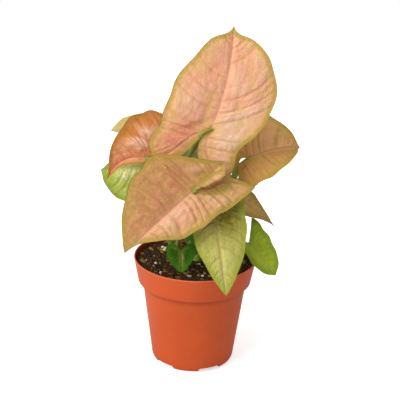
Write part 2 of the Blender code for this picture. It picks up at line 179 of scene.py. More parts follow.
# The leaves. Stalk and tip are places in mm, face the way the upper side looks, width and lobe sizes in mm,
# and the angles in degrees. Pairs are for the left and the right half, seen from above with the tip ahead.
Leaf = namedtuple(
    "Leaf",
    "name stalk tip face width lobe left right arch fold curl droop sweep notch tuck ruffle",
    defaults=[
        HEART, HEART, 20, (12, 12), (-20, -20), (10, 10), 0, (NOTCH_EDGE, NOTCH_EDGE), (0, 0), 0.8,
    ],
)
LEAVES = [
    Leaf(
        "blade_top", (10, 8, 210), (27, 38, 293), (0.05, -1.0, 0.35), (47, 43), (44, 48), TOP_LEFT, TOP_RIGHT,
        fold=(8, 8), curl=(-10, -14), droop=(-15, 6), sweep=4, notch=TOP_NOTCH, tuck=(0, -8), ruffle=1.4,
    ),
    Leaf(
        "blade_front", (-3, -30, 169), (-58, -62, 124), (0.1, -0.8, 0.6), (32, 46), (42, 38),
        FRONT_LEFT, FRONT_RIGHT,
        fold=(8, 8), curl=(-10, -14), droop=(0, 0), notch=FRONT_NOTCH, tuck=(0, 55), ruffle=1.6,
    ),
    Leaf(
        "blade_right", (43, 24, 180), (90, 45, 184), (0.15, -0.6, 0.8), (42, 26), (24, 16), BROAD, HEART,
        arch=60, fold=(5, 5), curl=(-10, -20), notch=RIGHT_NOTCH, tuck=(-30, 0),
    ),
    Leaf(
        "blade_left", (-42, 17, 179), (-77, -1, 166), (0.0, -0.7, 0.7), (20, 42), (8, 32), HEMMED, FOLDED,
        arch=24, fold=(52, 40), curl=(-10, -40), sweep=8,
    ),
    Leaf(
        "blade_left_pale", (-40, 56, 193), (-78, 50, 192), (0.1, -0.5, 0.85), (14, 18), (20, 20),
        HEART, SHIELD, arch=40,
    ),
    Leaf(
        "blade_left_green", (-42, 34, 166), (-86, 34, 162), (0.0, -0.95, 0.3), (33, 15), (24, 14),
        BROAD, HEART,
    ),
    Leaf(
        "blade_centre", (15, -28, 152), (27, -64, 89), (0.1, -0.9, 0.45), (26, 22), (14, 12),
        CENTRE, CENTRE, arch=16, fold=(6, 6),
    ),
    Leaf(
        "blade_low_right", (46, -12, 115), (70, -22, 90), (0.3, -0.8, 0.6), (20, 11), (15, 6),
        LOW_UPPER, LOW_LOWER, fold=(10, 15), curl=(-10, -10), notch=LOW_NOTCH,
    ),
    Leaf(
        "blade_small_pink", (38, 8, 147), (71, 6, 122), (0.2, -0.6, 0.8), (14, 14), (12, 12),
        TAILED, TAILED,
    ),
    Leaf(
        "blade_young", (-12, -22, 111), (-11, -40, 98), (0.0, -0.7, 0.7), (12, 13), (7, 7),
        SHIELD, SHIELD, ruffle=0.3,
    ),
    Leaf(
        "blade_young_behind", (-1, -11, 127), (1, -21, 114), (0.0, -0.7, 0.7), (8, 8), (6, 6),
        SHIELD, SHIELD, ruffle=0.3,
    ),
    Leaf(
        "blade_back_left", (-5, 50, 186), (-7, 72, 142), (0.0, 0.9, 0.45), (14, 14), (14, 14), arch=36,
        notch=(CLOSED_NOTCH, CLOSED_NOTCH),
    ),
    Leaf(
        "blade_back_right", (28, 48, 150), (44, 90, 128), (0.1, 0.5, 0.85), (24, 24), (18, 18),
        ARROW, ARROW, arch=36,
    ),
]

# The dry sheath at the foot of the youngest leaves
BRACT = Leaf(
    "dry_bract", (-11.5, -16.5, 103), (-14, -18.5, 119.5), (0.0, -1.0, 0.3), (3.4, 3.4), (3, 3),
    SHIELD, SHIELD, fold=(25, 25), curl=(10, 10), ruffle=0.3,
)

# How each leaf looks: its colours, its slot, the height in mm of the pillows between its veins on each half,
# how dull each half is, which is painted shade, how many side veins there are for one length of the outline,
# how fine its mesh is, and its marks of painted shade and lighter colour
Look = namedtuple(
    "Look", "tint slot quilt dull veins rows columns marks", defaults=[(0.5, 0.5), (0, 0), 10.0, 96, 26, ()],
)

# A soft oval mark on a leaf: its middle, right of the midrib and ahead of the stalk, its half length and half
# width and the angle it is turned by, how dull and how light it is from 0 to 1, and how far it rises in mm.
# The dull share is painted shade. The light share is a painted highlight on the pink leaves, the young leaf's own
# cream, and a paler colour on the other green leaves
Mark = namedtuple("Mark", "x y long wide turn dull light rise", defaults=[0, 0, 0])
LOOKS = {
    # blade_top: painted shade over its left lobe and in two grooves, painted highlights on its raised pillows
    "blade_top": Look("pink", "leaf_pink", (1.3, 1.2), (0.15, 0.0), 10.0, 160, 44, (
        Mark(-26, -20, 26, 17, 40, 1.0),
        Mark(-26, 19, 17, 11, 60, light=0.5, rise=2.4),
        Mark(-14, 1, 14, 3, 30, 0.6, rise=-1.4),
        Mark(14, -14, 20, 8, -70, light=0.5, rise=1.0),
        Mark(22, -6, 12, 6, 12, light=1.0, rise=0.8),
        Mark(22, 20, 20, 6, 30, light=0.7, rise=1.2),
        Mark(20, 8, 16, 7, 20, light=0.9),
        Mark(-12, 50, 20, 5, 62, 0.3, rise=-1.0),
    )),
    # blade_front: painted shade over its upper half, painted highlights on its raised pillows
    "blade_front": Look("blush", "leaf_pink", (1.9, 1.3), (0.0, 0.85), 12.0, 160, 44, (
        Mark(20, 6, 26, 16, 0, 0.3),
        Mark(-6, 26, 24, 4, 90, light=0.6, rise=0.8),
        Mark(-16, -6, 12, 5, 20, light=0.6, rise=1.6),
        Mark(-24, -22, 12, 5, 70, light=0.4, rise=1.2),
        Mark(12, -14, 10, 4, 60, light=0.5, rise=1.4),
    )),
    # blade_right: painted shade over one half, which lies behind the top leaf
    "blade_right": Look("olive_pink", "leaf_olive_pink", (0.9, 0.7), (0.0, 0.7), 10.0, 128, 34),
    # blade_left: painted highlights on two big puckers and along a ridge, painted shade in the valley between them
    # and in the curl under its top margin
    "blade_left": Look("salmon", "leaf_salmon", (0.6, 0.8), (0.0, 0.0), 10.0, 128, 36, (
        Mark(24, -6.5, 8, 4.5, 49, light=1.4, rise=2.0),
        Mark(13, 6, 10, 5, 119, light=1.1, rise=1.8),
        Mark(10.5, 1.3, 8, 1.6, 125, light=1.2, rise=0.8),
        Mark(18.5, 0, 8, 2, 60, 0.6, rise=-1.8),
        Mark(23, 14, 16, 6, 110, 1.1),
        Mark(38, -8, 24, 7, 95, 1.2),
    )),
    "blade_left_pale": Look("pale_pink", "leaf_pale_pink"),
    "blade_left_green": Look("leaf_green", "leaf_green", (1.1, 0.6), marks=(
        Mark(-6, 19, 9, 6, 80, light=1.2),
        Mark(-4, 8, 8, 3, 100, light=1.0),
        Mark(-3, 13, 9, 1.5, 95, 0.7),
    )),
    "blade_centre": Look("yellow_green", "leaf_yellow_green", (0.9, 0.9), (0.0, 0.0), 11.0, 128, 34, (
        # Painted shadow where the front leaf overhangs the centre leaf
        Mark(-12, 4, 22, 18, 100, 1.2),
        Mark(4, -4, 14, 12, 0, 0.7),
        Mark(2, 50, 16, 8, 90, light=0.6),
    )),
    "blade_low_right": Look("fresh_green", "leaf_green", (1.3, 0.8), (0.0, 0.0), 10.0),
    "blade_small_pink": Look("dry_pink", "leaf_pale_pink"),
    "blade_young": Look("dark_green", "leaf_dark_green", (0.5, 0.5), (0.0, 0.0), 10.0, 96, 26, (
        Mark(0, 6, 8, 1.7, 90, light=1.3),
        Mark(-4, -1, 4.5, 1.2, 25, light=1.1),
        Mark(4, -1, 4.5, 1.2, -25, light=1.1),
    )),
    "blade_young_behind": Look("dark_green", "leaf_dark_green", (0.5, 0.5), (0.0, 0.0), 10.0, 64, 18),
    "blade_back_left": Look("leaf_green", "leaf_green", (0.8, 0.8)),
    "dry_bract": Look("dry_brown", "leaf_olive_pink", (0.3, 0.3), (0.0, 0.0), 14.0, 64, 16),
    "blade_back_right": Look("pale_pink", "leaf_pale_pink", (0.8, 0.8)),
}

# Colours of a leaf: its ground, larger patches, the duller colour of painted shade (also of darker specks and of the
# veins below), the lighter colour of painted highlights (also of paler mottling, the midrib's flanks and cream
# marks), the gold flecks that lie in its hollows, the band along the margin, the veins and the tip
Tint = namedtuple("Tint", "ground patch dull light fleck margin vein tip")
TINTS = {
    "pink": Tint(
        (0.95, 0.42, 0.29), (0.93, 0.45, 0.28), (0.80, 0.26, 0.17), (0.98, 0.62, 0.45),
        (0.80, 0.56, 0.17), (0.58, 0.36, 0.06), (0.92, 0.34, 0.26), (0.34, 0.35, 0.03),
    ),
    "blush": Tint(
        (0.88, 0.41, 0.26), (0.86, 0.45, 0.25), (0.56, 0.225, 0.10), (0.96, 0.60, 0.43),
        (0.62, 0.42, 0.10), (0.46, 0.30, 0.05), (0.82, 0.29, 0.22), (0.36, 0.32, 0.05),
    ),
    "olive_pink": Tint(
        (0.97, 0.48, 0.22), (0.91, 0.49, 0.18), (0.52, 0.21, 0.06), (0.96, 0.56, 0.31),
        (0.66, 0.46, 0.08), (0.56, 0.36, 0.05), (0.54, 0.17, 0.12), (0.46, 0.32, 0.04),
    ),
    "salmon": Tint(
        (0.97, 0.42, 0.23), (0.97, 0.46, 0.25), (0.74, 0.24, 0.040), (0.98, 0.60, 0.44),
        (0.68, 0.30, 0.07), (0.50, 0.20, 0.03), (0.86, 0.38, 0.25), (0.50, 0.24, 0.04),
    ),
    "pale_pink": Tint(
        (0.72, 0.42, 0.17), (0.72, 0.46, 0.19), (0.62, 0.38, 0.14), (0.82, 0.54, 0.30),
        (0.66, 0.54, 0.18), (0.66, 0.52, 0.18), (0.80, 0.50, 0.32), (0.52, 0.46, 0.12),
    ),
    "leaf_green": Tint(
        (0.43, 0.52, 0.070), (0.60, 0.67, 0.22), (0.26, 0.36, 0.03), (0.92, 0.95, 0.44),
        (0.34, 0.44, 0.04), (0.30, 0.38, 0.04), (0.50, 0.56, 0.12), (0.26, 0.36, 0.04),
    ),
    "yellow_green": Tint(
        (0.58, 0.55, 0.135), (0.60, 0.53, 0.15), (0.20, 0.155, 0.001), (0.78, 0.74, 0.24),
        (0.44, 0.46, 0.08), (0.38, 0.42, 0.05), (0.60, 0.42, 0.18), (0.36, 0.42, 0.05),
    ),
    "fresh_green": Tint(
        (0.47, 0.62, 0.03), (0.52, 0.62, 0.04), (0.28, 0.40, 0.02), (0.62, 0.66, 0.09),
        (0.35, 0.48, 0.02), (0.26, 0.37, 0.02), (0.50, 0.50, 0.10), (0.24, 0.34, 0.02),
    ),
    "dry_pink": Tint(
        (0.76, 0.50, 0.13), (0.78, 0.54, 0.16), (0.46, 0.31, 0.05), (0.84, 0.56, 0.22),
        (0.52, 0.34, 0.08), (0.46, 0.30, 0.05), (0.58, 0.34, 0.15), (0.20, 0.10, 0.05),
    ),
    "dry_brown": Tint(
        (0.36, 0.21, 0.08), (0.40, 0.25, 0.10), (0.22, 0.12, 0.04), (0.50, 0.34, 0.16),
        (0.28, 0.16, 0.05), (0.20, 0.10, 0.03), (0.28, 0.14, 0.05), (0.14, 0.07, 0.02),
    ),
    "dark_green": Tint(
        (0.034, 0.22, 0.001), (0.048, 0.26, 0.001), (0.015, 0.10, 0.001), (0.66, 0.55, 0.15),
        (0.03, 0.10, 0.002), (0.07, 0.24, 0.01), (0.04, 0.17, 0.005), (0.04, 0.17, 0.005),
    ),
}

# The green that the underside of every leaf leans to
UNDERSIDE = (0.38, 0.40, 0.14)

# Each plantlet: where its root stock stands, and the place in mm that each leaf stalk passes
Plantlet = namedtuple("Plantlet", "name foot stalks")
PLANTLETS = [
    Plantlet(
        "stems_centre", (2, 6),
        {"blade_top": (-9, 14, 176), "blade_front": (-17, -8, 140), "blade_right": (22.5, 18, 152)},
    ),
    Plantlet(
        "stems_left", (-18, 12),
        {
            "blade_left": (-37, 14, 145), "blade_left_pale": (-34, 54, 155),
            "blade_left_green": (-38, 38, 138), "blade_back_left": (-8, 36, 140),
        },
    ),
    Plantlet(
        "stems_right", (18, -4),
        {
            "blade_centre": (20, -12, 130), "blade_low_right": (36, -6, 108),
            "blade_small_pink": (32, 6, 126), "blade_back_right": (26, 36, 124),
        },
    ),
    Plantlet(
        "stems_young", (-9, -14), {"blade_young": (-10, -15, 103), "blade_young_behind": (-5, -9, 110)},
    ),
]


# The stalk of the right leaf leaves its notch with two bends. Their places and radii in mm
STALK_BENDS = {"blade_right": ([(31.6, 20.0, 163.5), (36.2, 24.0, 172.0)], (3.1, 2.1))}

# Ends of leaf stalks that show: one hooks over the notch of the top leaf, and one sticks out as a knob
STALK_ENDS = {
    "stems_centre": [
        ([(12, 7.6, 210.5), (7, 6.2, 209.8), (2.5, 6.0, 206.5), (-1, 8.5, 200)], (0.8, 1.1, 1.2, 1.2)),
        ([(-3, -31, 167.5), (-2, -32.4, 169), (0, -31.6, 169.8)], (1.1, 1.3, 0.9)),
    ],
    "stems_left": [([(-42, 15, 177), (-42.4, 9, 181.5), (-42.8, 4, 183.9)], (1.5, 2.3, 2.6))],
}


class PotSettings(bpy.types.PropertyGroup):
    """The nursery pot."""

    colour: FloatVectorProperty(
        name="Plastic", description="Colour of the pot", subtype="COLOR", size=3, min=0, max=1,
        default=(0.65, 0.102, 0.024),
    )
    sides: IntProperty(name="Sides", description="Steps round the pot", default=240, min=24, max=512)
    lip: FloatProperty(
        name="Lip", description="Height of the bead round the rim", subtype="DISTANCE", unit="LENGTH",
        default=1.6 * MM, min=0,
    )


class SoilSettings(bpy.types.PropertyGroup):
    """The potting mix."""

    colour: FloatVectorProperty(
        name="Peat", description="Colour of the potting mix", subtype="COLOR", size=3, min=0, max=1,
        default=(0.030, 0.016, 0.005),
    )
    seed: IntProperty(name="Seed", description="Start of the draw that scatters the bits", default=7)
    perlite: IntProperty(name="Perlite", description="How many grains of perlite", default=28, min=0)
    bark: IntProperty(name="Bark", description="How many chips of bark", default=150, min=0)
    clods: IntProperty(name="Clods", description="How many crumbs of peat", default=420, min=0)


class LeafSettings(bpy.types.PropertyGroup):
    """The leaves and their stalks."""

    thickness: FloatProperty(
        name="Thickness", description="Thickness of a leaf", subtype="DISTANCE", unit="LENGTH",
        default=0.5 * MM, min=0.1 * MM,
    )
    relief: FloatProperty(
        name="Relief", description="Share of the height of the pillows between veins", default=1.0, min=0, max=2,
    )
    stalk: FloatVectorProperty(
        name="Stalk", description="Colour of the leaf stalks", subtype="COLOR", size=3, min=0, max=1,
        default=(0.18, 0.27, 0.02),
    )


class StageSettings(bpy.types.PropertyGroup):
    """The camera, the lights and the floor."""

    distance: FloatProperty(
        name="Distance", description="From the camera to the plant", subtype="DISTANCE", unit="LENGTH", default=1.1,
    )
    elevation: FloatProperty(
        name="Elevation", description="How far the camera looks down", subtype="ANGLE", unit="ROTATION",
        default=radians(21.34),
    )
    roll: FloatProperty(
        name="Roll", description="How far the camera leans", subtype="ANGLE", unit="ROTATION",
        default=radians(1.77),
    )
    target: FloatVectorProperty(
        name="Target", description="The point in the middle of the view", subtype="TRANSLATION", unit="LENGTH",
        size=3, default=(0.0028, 0.0, 0.1489),
    )
    lens: FloatProperty(name="Lens", description="Focal length", subtype="DISTANCE_CAMERA", default=114.96)
    key: FloatProperty(name="Key light", description="Power of the key light in watts", default=31.0, min=0)
    fill: FloatProperty(name="Fill light", description="Strength of the light all round", default=0.38, min=0)


class Wire:
    """An output socket in a material's node tree. Sums and products of wires add Math nodes to the tree."""

    def __init__(self, tree, socket=None):
        self.tree = tree
        self.socket = socket

    def node(self, kind, settings=None, inputs=None, output=0):
        """Adds a node, sets its settings and then its sockets, and returns one of its outputs."""
        made = self.tree.nodes.new("ShaderNode" + kind)
        for name, value in (settings or {}).items():
            setattr(made, name, value)
        for name, value in (inputs or {}).items():
            if isinstance(value, Wire):
                self.tree.links.new(value.socket, made.inputs[name])
            else:
                made.inputs[name].default_value = value
        return Wire(self.tree, made.outputs[output])

    def math(self, operation, *values):
        return self.node("Math", {"operation": operation}, dict(enumerate(values)))

    def __add__(self, other):
        return self.math("ADD", self, other)

    __radd__ = __add__

    def __sub__(self, other):
        return self.math("SUBTRACT", self, other)

    def __rsub__(self, other):
        return self.math("SUBTRACT", other, self)

    def __mul__(self, other):
        return self.math("MULTIPLY", self, other)

    __rmul__ = __mul__

    def __truediv__(self, other):
        return self.math("DIVIDE", self, other)

    def ramp(self, start, stop):
        """0 where the value is at start, 1 where it is at stop, with an eased way between."""
        settings = {"interpolation_type": "SMOOTHSTEP"}
        return self.node("MapRange", settings, {"Value": self, "From Min": start, "From Max": stop})

    def blend(self, low, high):
        """The colour low where the value is 0, and high where it is 1."""
        settings = {"data_type": "RGBA"}
        return self.node("Mix", settings, {0: self, 6: as_color(low), 7: as_color(high)}, 2)


def as_color(value):
    return value if isinstance(value, Wire) else (*value, 1.0)


def noise_wire(tree, place, scale, detail=3.0, roughness=0.55):
    """Soft noise from 0 to 1 over a place, with a grain of one part in scale."""
    inputs = {"Vector": place, "Scale": scale, "Detail": detail, "Roughness": roughness}
    return tree.node("TexNoise", None, inputs)


def new_material(name, roughness, **constants):
    """A Principled material with its fixed sockets set. Gives the material, its tree and its shader node."""
    material = bpy.data.materials.new(name)
    material.use_nodes = True
    shader = material.node_tree.nodes["Principled BSDF"]
    shader.inputs["Roughness"].default_value = roughness
    for socket, value in constants.items():
        shader.inputs[socket.replace("_", " ")].default_value = value
    return material, Wire(material.node_tree), shader


def connect(tree, wire, shader, socket):
    tree.tree.links.new(wire.socket, shader.inputs[socket])


def add_bump(tree, shader, height, distance, strength=1.0):
    """Feeds a height into the shader's normal, with its full height in metres."""
    inputs = {"Height": height, "Distance": distance, "Strength": strength}
    connect(tree, tree.node("Bump", None, inputs), shader, "Normal")


def split(place, kind="SeparateXYZ"):
    """The three parts of a vector, as wires."""
    first = place.node(kind, None, {0: place})
    return [Wire(place.tree, socket) for socket in first.socket.node.outputs]


def leaf_material(name, tint):
    """A leaf's skin: its patches, painted shade on its dull parts and in its hollows, painted highlights on its
    crests and on the light parts of the pink leaves, gold flecks in the hollows, veins, margin and tip.
    """
    material, tree, shader = new_material(name, 0.5, Specular_IOR_Level=0.14)
    place = tree.node("Attribute", {"attribute_name": "leaf_xy"}, output=1)
    across, ahead, side = split(place)
    row, out, pitch = split(tree.node("Attribute", {"attribute_name": "leaf_rows"}, output=1))
    edge, rib, under = split(tree.node("Attribute", {"attribute_name": "leaf_zone"}, output=1))
    dull, light, height = split(tree.node("Attribute", {"attribute_name": "leaf_marks"}, output=1))

    cloud = noise_wire(tree, place, 0.07, 2.0)
    mottle = noise_wire(tree, place, 0.30, 3.0, 0.6)
    fine = noise_wire(tree, place, 0.9, 2.0, 0.6)
    combed = tree.node("CombineXYZ", None, {0: row * 4, 1: out * 2.2, 2: side * 9})
    streak = noise_wire(tree, combed, 1.0, 4.0, 0.6)
    gap = row.math("PINGPONG", row, 0.5) * pitch
    twin = row * 2
    half_gap = twin.math("PINGPONG", twin, 0.5) * pitch / 2
    from_midrib = across.math("ABSOLUTE", across)

    vein = gap.ramp(0.9, 0.2) * out.ramp(0.98, 0.5) * mottle.ramp(0.30, 0.60)
    twig = half_gap.ramp(0.6, 0.1) * out.ramp(0.8, 0.4) * 0.4
    rib_line = rib.math("ABSOLUTE", rib).ramp(0.9, 0.2)
    midrib = from_midrib.ramp(0.9, 0.3) * ahead.ramp(-1.0, 0.5)
    flank = from_midrib.ramp(4.0, 0.6) * ahead.ramp(-1.0, 2.0)
    lines = vein.math("MAXIMUM", vein.math("MAXIMUM", vein, twig), rib_line.math("MAXIMUM", rib_line, midrib))
    band = (edge + (mottle - 0.5) * 7.0 + (fine - 0.5) * 2.0).ramp(5.6, 2.0)
    hem = (edge + (fine - 0.5) * 1.2).ramp(1.3, 0.3)
    hollow = height.ramp(0.15, -0.75)
    crest_highlight = height.ramp(0.1, 0.9)
    flecks = fine * 0.55 + mottle * 0.3 + streak * 0.15 + hollow * 0.12 + edge.ramp(16.0, 3.0) * 0.06
    flecks = flecks.ramp(0.50, 0.57) * (1.0 - lines * 0.8)

    skin = (cloud + (mottle - 0.5) * 0.4).ramp(0.35, 0.65).blend(tint.ground, tint.patch)
    # Painted shade: the dull shares of halves and marks darken the skin.
    skin = (dull + (mottle - 0.5) * 0.3).ramp(0.0, 1.0).blend(skin, tint.dull)
    # Painted highlight on the crests of the pillows.
    skin = (crest_highlight * (0.42 - dull * 0.34)).blend(skin, tint.light)
    # The light shares: painted highlights on the pink leaves and their folded-back parts, the young leaf's own cream.
    skin = (light + (mottle - 0.5) * 0.3).ramp(0.0, 1.0).blend(skin, tint.light)
    # Painted shade in the hollows between the pillows.
    skin = (hollow * 0.35).blend(skin, tint.dull)
    skin = (fine.ramp(0.50, 0.28) * 0.30).blend(skin, tint.dull)
    skin = (mottle.ramp(0.52, 0.72) * 0.22).blend(skin, tint.light)
    skin = (flecks * (0.68 - dull * 0.10)).blend(skin, tint.fleck)
    skin = (flank * 0.3).blend(skin, tint.light)
    skin = (lines * (0.58 - dull * 0.10)).blend(skin, tint.vein)
    skin = (band * 0.75).blend(skin, tint.margin)
    skin = (hem * 0.45).blend(skin, tint.tip)
    below = tuple(0.7 * shade + 0.3 * green for shade, green in zip(tint.patch, UNDERSIDE))
    paler = tuple(0.85 * shade + 0.15 for shade in below)
    below = (mottle * 0.6 + fine * 0.5).ramp(0.38, 0.72).blend(below, paler)
    below = (lines * 0.6).blend(below, tint.dull)
    skin = under.blend(skin, below)
    connect(tree, skin, shader, "Base Color")
    connect(tree, 0.46 + 0.14 * fine - lines * 0.05, shader, "Roughness")

    cells = tree.node("TexVoronoi", {"feature": "DISTANCE_TO_EDGE"}, {"Vector": place, "Scale": 0.7})
    relief = cells.ramp(0.0, 0.25) * 0.6 + fine * 0.5 + half_gap.ramp(0.0, 0.9) * 0.3 + mottle * 0.7
    add_bump(tree, shader, relief + streak * 0.7 - lines * 0.4, 0.55 * MM, 0.8)
    return material


def plastic_material(settings):
    """Satin plastic with pale specks of dust, a painted highlight along the lip, and painted shade under the band's
    step and on the inner wall below the rim.
    """
    material, tree, shader = new_material("pot_plastic", 0.42, Specular_IOR_Level=0.14)
    place = tree.node("TexCoord", None, None, 3)
    x, y, height = split(place)
    cloud = noise_wire(tree, place, 22.0, 3.0)
    speck = noise_wire(tree, place, 260.0, 3.0, 0.6)
    grain = noise_wire(tree, place, 1400.0, 2.0)
    base = tuple(settings.colour)
    deep = tuple(0.90 * shade for shade in base)
    pale = tuple(min(1.0, 1.12 * shade + 0.05) for shade in base)
    skin = cloud.ramp(0.3, 0.7).blend(deep, base)
    # Painted highlight: the top of the lip is coloured paler.
    lip = height.ramp((POT_HEIGHT - 1.4) * MM, (POT_HEIGHT - 0.5) * MM)
    skin = (lip * 0.8).blend(skin, pale)
    step = (POT_HEIGHT - BAND_DEPTH) * MM
    # Painted shade: the body just under the band's step is coloured darker.
    ledge_painted_shade = height.ramp(step - 7 * MM, step - MM) * height.ramp(step + 0.6 * MM, step)
    skin = (ledge_painted_shade * 0.5).blend(skin, tuple(0.45 * shade for shade in base))
    # Painted shade: the inner wall, from just under the rim down, is coloured deep maroon.
    slope = (RIM_RADIUS - BAND_FOOT_RADIUS) / BAND_DEPTH
    reach = (x * x + y * y).math("SQRT", x * x + y * y) + (POT_HEIGHT * MM - height) * slope
    inside = reach.ramp((RIM_RADIUS - 0.5) * MM, (RIM_RADIUS - 1.0) * MM) * height.ramp(step + 2 * MM, step + 4 * MM)
    skin = (inside * height.ramp(POT_HEIGHT * MM, (POT_HEIGHT - 2.5) * MM) * 0.8).blend(skin, (0.20, 0.022, 0.008))
    dust = speck.ramp(0.66, 0.74) * 0.35
    skin = dust.blend(skin, pale)
    connect(tree, skin, shader, "Base Color")
    connect(tree, 0.38 + 0.10 * cloud + 0.06 * speck, shader, "Roughness")
    add_bump(tree, shader, grain * 0.4 + speck * 0.6, 0.06 * MM, 0.5)
    return material


def peat_material(settings):
    """Dark damp peat with paler fibres and grit."""
    material, tree, shader = new_material("peat", 0.95, Specular_IOR_Level=0.2)
    place = tree.node("TexCoord", None, None, 3)
    crumbs = noise_wire(tree, place, 320.0, 4.0, 0.65)
    patches = noise_wire(tree, place, 60.0, 2.0)
    base = tuple(settings.colour)
    brown = tuple(3.2 * shade for shade in base)
    skin = crumbs.ramp(0.42, 0.68).blend(base, brown)
    skin = (patches.ramp(0.45, 0.7) * 0.5).blend(skin, tuple(0.6 * shade for shade in base))
    connect(tree, skin, shader, "Base Color")
    connect(tree, 0.80 + 0.18 * crumbs, shader, "Roughness")
    add_bump(tree, shader, crumbs, 0.9 * MM, 0.9)
    return material


def crumb_material(name, low, high, grain, roughness):
    """A crumbly finish that wanders between two colours."""
    material, tree, shader = new_material(name, roughness, Specular_IOR_Level=0.25)
    place = tree.node("TexCoord", None, None, 3)
    pits = noise_wire(tree, place, grain, 4.0, 0.6)
    broad = noise_wire(tree, place, grain * 0.12, 1.0)
    connect(tree, (pits * 0.6 + broad * 0.6).ramp(0.35, 0.85).blend(low, high), shader, "Base Color")
    connect(tree, roughness - 0.1 + 0.2 * pits, shader, "Roughness")
    add_bump(tree, shader, pits, 0.4 * MM, 0.7)
    return material


def stalk_material(settings):
    """Smooth green stalks, streaked along their length and flushed with pink in places."""
    material, tree, shader = new_material("stalk_skin", 0.4, Specular_IOR_Level=0.45)
    place = tree.node("TexCoord", None, None, 3)
    height = Wire(tree.tree, place.node("SeparateXYZ", None, {0: place}).socket.node.outputs[2])
    stretched = tree.node("Mapping", None, {"Vector": place, "Scale": (1.0, 1.0, 0.08)})
    streaks = noise_wire(tree, stretched, 900.0, 2.0)
    cloud = noise_wire(tree, place, 40.0, 2.0)
    base = tuple(settings.stalk)
    pale = tuple(1.35 * shade + 0.03 for shade in base)
    skin = streaks.ramp(0.35, 0.7).blend(base, pale)
    skin = (cloud.ramp(0.5, 0.75) * 0.4).blend(skin, (0.36, 0.26, 0.06))
    skin = (height.ramp(0.108, 0.092) * 0.6).blend(skin, (0.30, 0.52, 0.04))
    connect(tree, skin, shader, "Base Color")
    connect(tree, 0.36 + 0.12 * streaks, shader, "Roughness")
    add_bump(tree, shader, streaks, 0.15 * MM, 0.6)
    return material


def add_piece(name, mesh, material, slot, *nodes):
    """Links a mesh as a piece that rides on the plant and stands for CAD nodes; its finish slot is not used."""
    piece = bpy.data.objects.new(name, mesh)
    bpy.context.scene.collection.objects.link(piece)
    mesh.materials.clear()
    mesh.materials.append(material)
    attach(piece, BODY)
    if nodes:
        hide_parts(*nodes)
    return piece


def smooth_mesh(name, points, faces):
    """A smooth-shaded mesh from points in mm."""
    mesh = bpy.data.meshes.new(name)
    mesh.from_pydata((np.asarray(points) * MM).tolist(), [], faces)
    mesh.validate()
    mesh.shade_smooth()
    return mesh


def spline(points, along):
    """Reads a smooth line through the points at places from 0 to 1 along it."""
    points = np.array(points, float)
    last = len(points) - 1
    place = np.clip(along, 0, 1) * last
    here = np.minimum(place.astype(int), last - 1)
    part = (place - here)[:, None]
    a, b, c, d = (points[np.clip(here + step, 0, last)] for step in (-1, 0, 1, 2))
    return b + part * ((c - a) / 2 + part * (a - 2.5 * b + 2 * c - d / 2 + part * (1.5 * (b - c) + (d - a) / 2)))


def eased(value, start, stop):
    """0 where the value is at start and 1 where it is at stop, with a smooth way between."""
    part = np.clip((value - start) / (stop - start), 0, 1)
    return part * part * (3 - 2 * part)


def leaf_length(leaf):
    return (Vector(leaf.tip) - Vector(leaf.stalk)).length


def leaf_axes(leaf):
    """The leaf's directions: to its right, along its midrib and up from its face."""
    ahead = (Vector(leaf.tip) - Vector(leaf.stalk)).normalized()
    rightward = ahead.cross(Vector(leaf.face)).normalized()
    return rightward, ahead, rightward.cross(ahead)


def seat_normal(leaf):
    """The way up from the leaf where its stalk joins it."""
    ahead, upward = leaf_axes(leaf)[1:]
    lean = radians(leaf.arch) / 2
    return upward * cos(lean) - ahead * sin(lean)


def flat_half(leaf, side, along, across):
    """One half laid out flat in mm: out from the midrib, and ahead of the stalk. Its rows bow to the tip."""
    margin = (leaf.left, leaf.right)[side]
    knot = STALK_KNOT / OUTLINE_STEPS
    notch = spline([margin[0], *leaf.notch[side], (0.0, 0.0)], along / knot)
    midrib = spline([(0.0, foot) for foot in MIDRIB_FEET], (along - knot) / (1 - knot))
    inner = np.where(along[:, None] < knot, notch, midrib)
    outer = spline(margin, along)
    outer[:, 0] *= 1 + EDGE_WAVE * np.sin(pi * along) * np.sin(31 * along + leaf.width[side])
    share = inner[:, None] + (outer - inner)[:, None] * across[None, :, None]
    reach = np.where(share[..., 1] > 0, leaf_length(leaf), leaf.lobe[side])
    flat = np.stack([share[..., 0] * leaf.width[side], share[..., 1] * reach], axis=-1)
    span = flat[:, -1:] - flat[:, :1]
    bow = ROW_BOW * eased(along, knot - 0.1, knot + 0.2) * (1 - eased(along, 0.8, 1.0))
    lift = (4 * across * (1 - across))[None, :, None] * bow[:, None, None]
    return flat + lift * np.stack([span[..., 1], -span[..., 0]], axis=-1)


ROW_BOW = 0.10
EDGE_WAVE = 0.022


